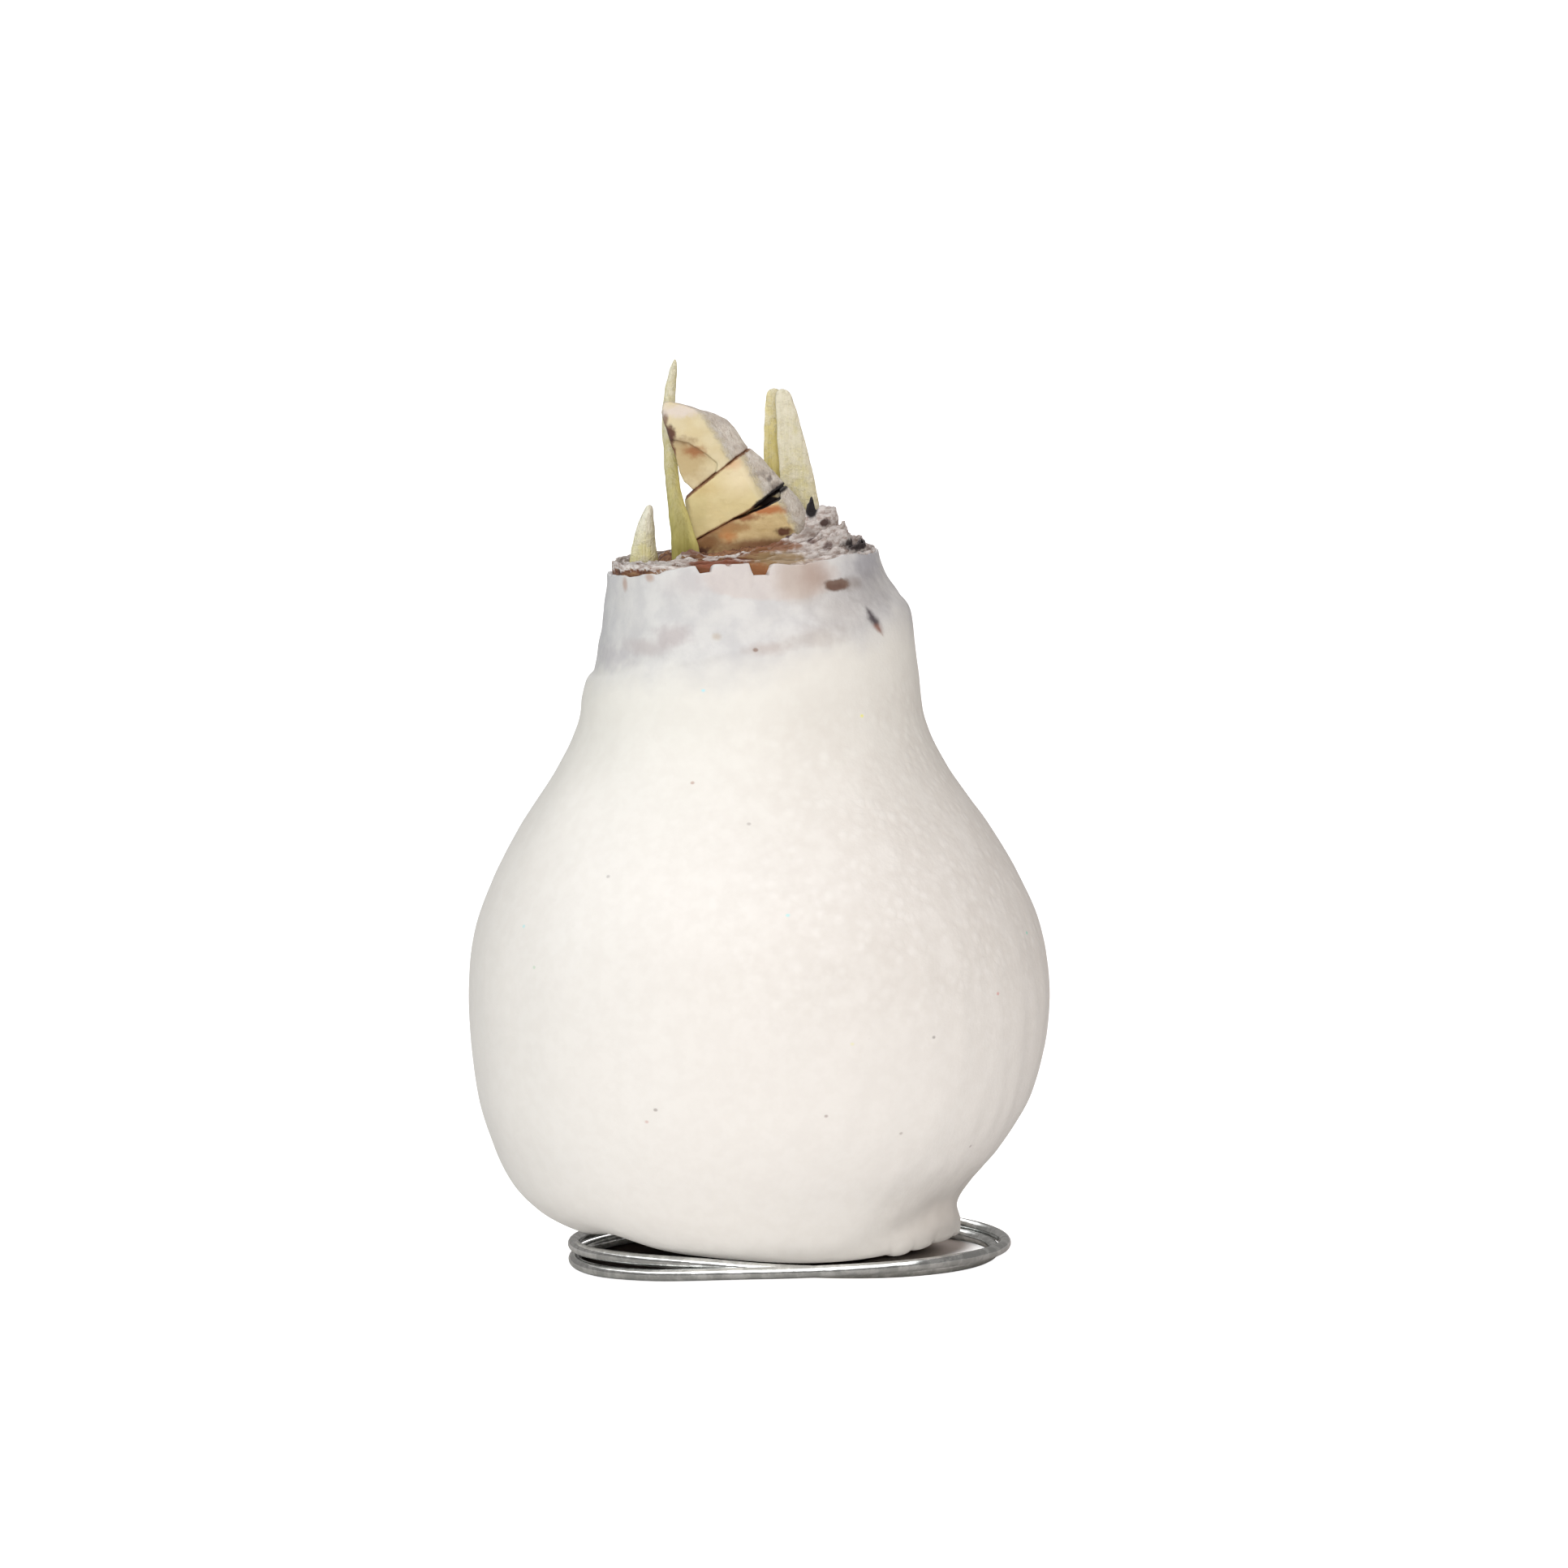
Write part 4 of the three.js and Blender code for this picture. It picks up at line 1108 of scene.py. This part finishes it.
def base_move(at, normal, beyond):
    """How a point of a base moves: it wanders, closes up the cut that it is near, and falls
    back where it lies beyond the right-hand edge of the cut face."""
    bump = CUT_WANDER * (lumps(at, 2.4, 3.1) + 0.5 * lumps(at, 0.8, 6.6))
    move = normal * bump
    gap = under_cut(at.x, at.z)
    closed = 1 - between(abs(gap), 0.7, 1.2)
    move += CUT_NORMAL * math.copysign(CUT_CLOSING, gap) * closed
    fall = SIDE_FALL * max(0, beyond) * between(beyond, -0.4, 1.4)
    lead = min(CUT_FRONT + fall, CUT_BACK - 2)
    squeezed = CUT_BACK - (CUT_BACK - at.y) * (CUT_BACK - lead) / (CUT_BACK - CUT_FRONT)
    move.y += squeezed - at.y if at.y < CUT_BACK else 0
    return move


def worn_base(node):
    """A base worn round at its edges, with its right-hand side bent back from the cut face."""
    bm = rebuilt_copy(node)
    beyond = bm.verts.layers.float.new("past the face")
    seam = bm.verts.layers.float.new("off the cut")
    for point in bm.verts:
        x, _, z = point.co / MM
        point[beyond] = x - read_off(FACE_EDGES[node], z)
        point[seam] = abs(under_cut(x, z))
    for _ in range(CUT_WEAR):
        bmesh.ops.smooth_vert(
            bm, verts=bm.verts[:], factor=0.5, use_axis_x=True, use_axis_y=True, use_axis_z=True
        )
    bm.normal_update()
    moves = [base_move(point.co / MM, point.normal, point[beyond]) for point in bm.verts]
    for point, move in zip(bm.verts, moves):
        point.co += move * MM
    return bm


# Dark pits in the wax of the outer sides, and the marks on each cut face, one of them a painted
# shadow: centre, reach, raggedness, softness, how strong, and colour.
PITS = [
    ((2.4, -4.0, 117.2), (1.5, 4, 0.4), 0.6, 0.8, 0.5, rgb(140, 122, 112)),
    ((3.2, -4.0, 116.4), (0.5, 4, 0.4), 0.4, 0.5, 0.7, rgb(104, 84, 78)),
    ((4.1, -3.5, 115.0), (0.7, 4, 0.8), 0.5, 0.7, 0.7, rgb(108, 90, 82)),
    ((-0.2, -4.0, 121.2), (1.6, 4, 0.4), 0.6, 0.8, 0.4, rgb(176, 158, 146)),
    ((-3.6, -3.0, 125.0), (1.6, 4, 0.5), 0.6, 0.8, 0.4, rgb(190, 176, 164)),
]
TOP_MARKS = [
    ((-9.5, -4.6, 119.6), (3.4, 3, 3.2), 0.2, 0.4, 0.9, rgb(204, 182, 136)),
    ((-7.6, -4.6, 120.9), (1.6, 2, 0.95), 0.35, 0.7, 0.85, rgb(172, 112, 70)),
    ((-9.6, -4.8, 122.5), (2.2, 2, 0.7), 0.4, 0.7, 0.5, rgb(150, 116, 84)),
    ((-11.2, -5.2, 123.4), (0.8, 3, 1.7), 0.35, 0.4, 0.95, rgb(92, 50, 40)),
    ((-10.9, -4.6, 120.6), (0.5, 3, 1.3), 0.3, 0.4, 0.9, rgb(110, 66, 44)),
    ((-11.9, -6.0, 125.9), (0.55, 3, 1.0), 0.3, 0.4, 0.8, rgb(128, 92, 80)),
    ((-9.6, -6.2, 126.9), (3.2, 3, 0.9), 0.4, 0.6, 0.85, rgb(236, 224, 214)),
]
MID_MARKS = [
    ((-2.5, -6.2, 118.9), (1.6, 3, 0.8), 0.3, 0.6, 0.95, rgb(206, 144, 84)),
    ((-1.2, -6.2, 117.2), (2.4, 3, 2.4), 0.2, 0.9, 0.7, rgb(252, 236, 200)),
    ((-7.0, -6.2, 115.2), (3.0, 3, 0.9), 0.3, 0.8, 0.5, rgb(214, 186, 126)),
    ((-7.6, -6.2, 111.4), (1.6, 3, 3.4), 0.3, 0.8, 0.4, rgb(196, 184, 124)),
]
LOW_MARKS = [
    # A painted shadow: very dark where the low base meets the one above, at the right.
    ((2.9, -2.4, 113.0), (2.6, 1.5, 0.75), 0.15, 0.2, 1.0, rgb(28, 20, 18)),
    ((-7.2, -6.2, 107.5), (4.0, 3, 1.7), 0.12, 0.6, 0.9, rgb(122, 80, 44)),
    ((-3.2, -6.2, 109.6), (2.6, 3, 0.8), 0.15, 0.6, 0.85, rgb(140, 92, 54)),
    ((-0.4, -6.2, 111.0), (2.0, 3, 0.6), 0.3, 0.5, 0.85, rgb(146, 84, 48)),
    ((-3.0, -6.2, 108.4), (1.1, 3, 0.9), 0.3, 0.7, 0.8, rgb(206, 140, 84)),
    ((2.6, -6.2, 112.0), (3.4, 3, 0.6), 0.3, 0.6, 0.9, rgb(186, 110, 62)),
    ((-2.4, -6.2, 109.4), (2.6, 3, 0.7), 0.3, 0.6, 0.7, rgb(188, 146, 96)),
    ((-8.6, -6.2, 106.0), (3.0, 3, 0.8), 0.4, 0.4, 0.95, rgb(76, 44, 34)),
    ((2.2, -6.2, 106.4), (5.4, 3, 1.4), 0.12, 0.5, 0.9, rgb(124, 80, 52)),
    ((5.2, -6.2, 108.8), (1.2, 3, 0.6), 0.3, 0.4, 0.95, rgb(88, 46, 30)),
]


def paint_cut_walls(tree, place, facing, grain, colour):
    """The walls of the cuts, painted brown, with a very dark painted shadow in the gap at the
    right of the low one.
    """
    along_cut = shade(tree, "VectorMath", {0: facing, 1: CUT_NORMAL}, operation="DOT_PRODUCT")
    wall = ease(tree, maths(tree, "ABSOLUTE", along_cut.outputs["Value"]), 0.7, 0.9)
    off_cut = marked(tree, "off the cut")
    on_wall = maths(tree, "MULTIPLY", wall, ease(tree, off_cut, 2.4, 1.8))
    x, _, height = shade(tree, "SeparateXYZ", {0: place}).outputs
    # A painted shadow, very dark, in the gap at the right of the low cut.
    gap_shadow = maths(tree, "MULTIPLY", ease(tree, x, 0.0, 1.2), ease(tree, height, 117.0, 116.0))
    uneven = maths(tree, "MULTIPLY_ADD", maths(tree, "SUBTRACT", grain, 0.5), 0.5, off_cut)
    uneven = maths(tree, "MULTIPLY_ADD", gap_shadow, -0.35, uneven)
    in_cut = maths(tree, "MAXIMUM", on_wall, ease(tree, uneven, 0.6, 0.2))
    dry_walls_and_gap_shadow = paint(tree, gap_shadow, rgb(134, 90, 58), rgb(26, 18, 17))
    return paint(tree, in_cut, colour, dry_walls_and_gap_shadow)


def make_cut_finish(name, face, edge, facet_width, marks):
    """A cut face in cream or tan; the uncut sides are under grey-white wax, the walls of the cuts
    are dry and dark brown, and the gap at the right of the low cut has a painted shadow."""
    material, tree, shader = new_finish(name, roughness=0.6)
    place = in_millimetres(tree)
    blotch = soft_noise(tree, place, 3.0, detail=4)
    fibre = soft_noise(tree, place, 0.5, detail=3, stretch=(3, 1, 1))
    colour = paint(tree, ease(tree, blotch, 0.35, 0.7), face, edge)
    colour = paint(tree, maths(tree, "MULTIPLY", fibre, 0.2), colour, rgb(250, 240, 205))
    beyond = marked(tree, "past the face")
    on_facet = ease(tree, beyond, -0.35, 0.1)
    colour = paint(tree, maths(tree, "MULTIPLY", on_facet, 0.8), colour, rgb(232, 219, 178))
    colour = stain(tree, place, colour, marks, 1.2)

    grain = soft_noise(tree, place, 1.1, detail=5, roughness=0.72)
    grit = soft_noise(tree, place, 0.4, detail=3, roughness=0.7)
    wax = paint(tree, ease(tree, grain, 0.35, 0.65), rgb(224, 212, 197), rgb(246, 239, 228))
    wax = paint(tree, ease(tree, grit, 0.62, 0.74), wax, rgb(188, 170, 154))
    facing = shade(tree, "TexCoord").outputs["Normal"]
    _, backwards, _ = shade(tree, "SeparateXYZ", {0: facing}).outputs
    wavering = maths(tree, "MULTIPLY_ADD", maths(tree, "SUBTRACT", grain, 0.5), 2.4, beyond)
    behind = maths(tree, "MULTIPLY_ADD", grain, 0.5, backwards)
    on_side = ease(tree, wavering, facet_width - 0.6, facet_width + 1.0)
    waxed = maths(tree, "MAXIMUM", on_side, ease(tree, behind, 0.05, 0.35))
    colour = paint(tree, waxed, colour, wax)
    colour = stain(tree, place, colour, PITS, 1.2)
    colour = paint_cut_walls(tree, place, facing, grain, colour)
    tree.links.new(colour, shader.inputs["Base Color"])
    waxy = maths(tree, "MULTIPLY_ADD", waxed, 1.5, 0.3)
    rough_wax = maths(tree, "MULTIPLY", maths(tree, "ADD", grain, grit), waxy)
    relief(tree, shader, maths(tree, "MULTIPLY_ADD", fibre, 0.4, rough_wax), 0.22)
    return material


# Each base: the two colours of its cut face, how wide the bare strip beside it is, and its marks.
CUT_FINISHES = {
    "cut_base_low": (rgb(220, 196, 144), rgb(206, 178, 124), 0.3, LOW_MARKS),
    "cut_base_mid": (rgb(226, 207, 152), rgb(232, 216, 164), 1.2, MID_MARKS),
    "cut_base_top": (rgb(230, 216, 178), rgb(224, 206, 160), 0.1, TOP_MARKS),
}
for node, details in CUT_FINISHES.items():
    name = node.replace("cut_base", "sliced_base")
    finish_piece(worn_base(node), name, make_cut_finish(name, *details), [node])

# ---------------------------------------------------------------- studio
# A pale table, a bright ceiling over a dim room, a large soft lamp in front of the bulb and
# a cooler one on its left.

bm = bmesh.new()
bmesh.ops.create_grid(bm, x_segments=1, y_segments=1, size=20)
table_mesh = bpy.data.meshes.new("table top")
bm.to_mesh(table_mesh)
bm.free()
table_top = bpy.data.objects.new("table_top", table_mesh)
bpy.context.collection.objects.link(table_top)
table_finish, table_tree, table_shader = new_finish("pale table", roughness=0.9)
table_shader.inputs["Specular IOR Level"].default_value = 0.0
table_shader.inputs["Emission Color"].default_value = rgb(255, 255, 255)
# The table has a painted glow that only the camera sees: it looks white but doesn't light the
# bulb by that. Painted shadows keep it dark under the bulb, and the wire reflects it as a
# painted darker grey.
seen = shade(table_tree, "LightPath").outputs["Is Camera Ray"]
mirrored = shade(table_tree, "LightPath").outputs["Is Glossy Ray"]
on_table = in_millimetres(table_tree)
# The painted shadows on the table: centre, where the shadow is full and where it ends, and colour.
PAINTED_SHADOWS = [
    ((8, 12, 0), 21.0, 26.0, rgb(196, 188, 184)),
    ((-2, 34, 0), 14.0, 24.0, rgb(110, 102, 98)),
    ((14, 8, 0), 8.0, 14.0, rgb(70, 62, 60)),
    ((-5, 8, 0), 22.5, 24.5, rgb(70, 62, 60)),
]
painted_glow = maths(table_tree, "MULTIPLY", seen, 0.9)
table_colour = rgb(250, 250, 250)
for centre, full, end, shaded in PAINTED_SHADOWS:
    off = shade(table_tree, "VectorMath", {0: on_table, 1: centre}, operation="DISTANCE")
    lit = ease(table_tree, off.outputs["Value"], full, end)
    painted_glow = maths(table_tree, "MULTIPLY", painted_glow, lit)
    table_colour = paint(table_tree, lit, shaded, table_colour)
table_tree.links.new(painted_glow, table_shader.inputs["Emission Strength"])
# Reflections see the table in a painted darker grey.
table_colour = paint(table_tree, mirrored, table_colour, rgb(205, 203, 201))
table_tree.links.new(table_colour, table_shader.inputs["Base Color"])
table_mesh.materials.append(table_finish)

world = bpy.data.worlds.new("studio")
bpy.context.scene.world = world
world.use_nodes = True
sky = world.node_tree
towards = shade(sky, "SeparateXYZ", {0: shade(sky, "TexCoord").outputs["Generated"]}).outputs
aside, inwards, upright = towards
LOW_WALLS, HIGH_WALLS, CEILING = (0.1, 0.1, 0.1, 1), (0.52, 0.46, 0.38, 1), (0.66, 0.65, 0.7, 1)
light = paint(sky, ease(sky, upright, 0.16, 0.32), LOW_WALLS, HIGH_WALLS)
light = paint(sky, ease(sky, upright, 0.58, 0.76), light, CEILING)
# The ceiling glints in the wire, but not on the right.
path = shade(sky, "LightPath").outputs
to_right = maths(sky, "MULTIPLY_ADD", inwards, 0.6, aside)
bright = maths(sky, "MULTIPLY", ease(sky, upright, 0.35, 0.6), ease(sky, to_right, 0.75, 0.6))
glint = paint(sky, bright, (0.26, 0.25, 0.24, 1), (2.8, 2.8, 2.8, 1))
light = paint(sky, path["Is Glossy Ray"], light, glint)
light = paint(sky, path["Is Camera Ray"], light, (1, 1, 1, 1))
sky.links.new(light, sky.nodes["Background"].inputs["Color"])

LAMP_DISTANCE = 1.4
LAMP_SIZE = 0.8
LAMP_AIM = Vector((0, 0, 0.06))


def add_lamp(name, heading, rise, power, colour):
    """A soft square lamp, so many degrees to the right of the front and up from the table."""
    lamp = bpy.data.lights.new(name, "AREA")
    lamp.shape = "SQUARE"
    lamp.size = LAMP_SIZE
    lamp.energy = power
    lamp.color = colour
    turn, lift = math.radians(heading), math.radians(rise)
    towards = Vector(
        (math.sin(turn) * math.cos(lift), -math.cos(turn) * math.cos(lift), math.sin(lift))
    )
    holder = bpy.data.objects.new(name, lamp)
    holder.location = LAMP_AIM + towards * LAMP_DISTANCE
    holder.rotation_euler = (-towards).to_track_quat("-Z", "Y").to_euler()
    holder.visible_camera = False
    holder.visible_glossy = False
    bpy.context.collection.objects.link(holder)


add_lamp("front lamp", 2, 5, 11.4, (1, 0.985, 0.98))
add_lamp("left lamp", -80, 22, 3.3, (0.78, 0.96, 1))

# The camera stands far off and a little above the bulb, and leans over by about a degree.
CAMERA_PLACE = Vector((4.4, -1600, 225.4)) * MM
CAMERA_AIM = Vector((4.4, 0, 70.9)) * MM
CAMERA_ROLL = math.radians(1.27)
camera_data = bpy.data.cameras.new("camera")
camera_data.lens = 249.5
camera_data.sensor_width = 36
camera_data.clip_start = 0.05
camera_data.clip_end = 60
camera = bpy.data.objects.new("camera", camera_data)
bpy.context.collection.objects.link(camera)
forward = (CAMERA_AIM - CAMERA_PLACE).normalized()
level = Vector((1, 0, 0))
upward = level.cross(forward)
across = level * math.cos(CAMERA_ROLL) - upward * math.sin(CAMERA_ROLL)
up = level * math.sin(CAMERA_ROLL) + upward * math.cos(CAMERA_ROLL)
turned = Matrix((across, up, -forward)).transposed().to_4x4()
camera.matrix_world = Matrix.Translation(CAMERA_PLACE) @ turned
bpy.context.scene.camera = camera
bpy.context.scene.view_settings.view_transform = "Standard"
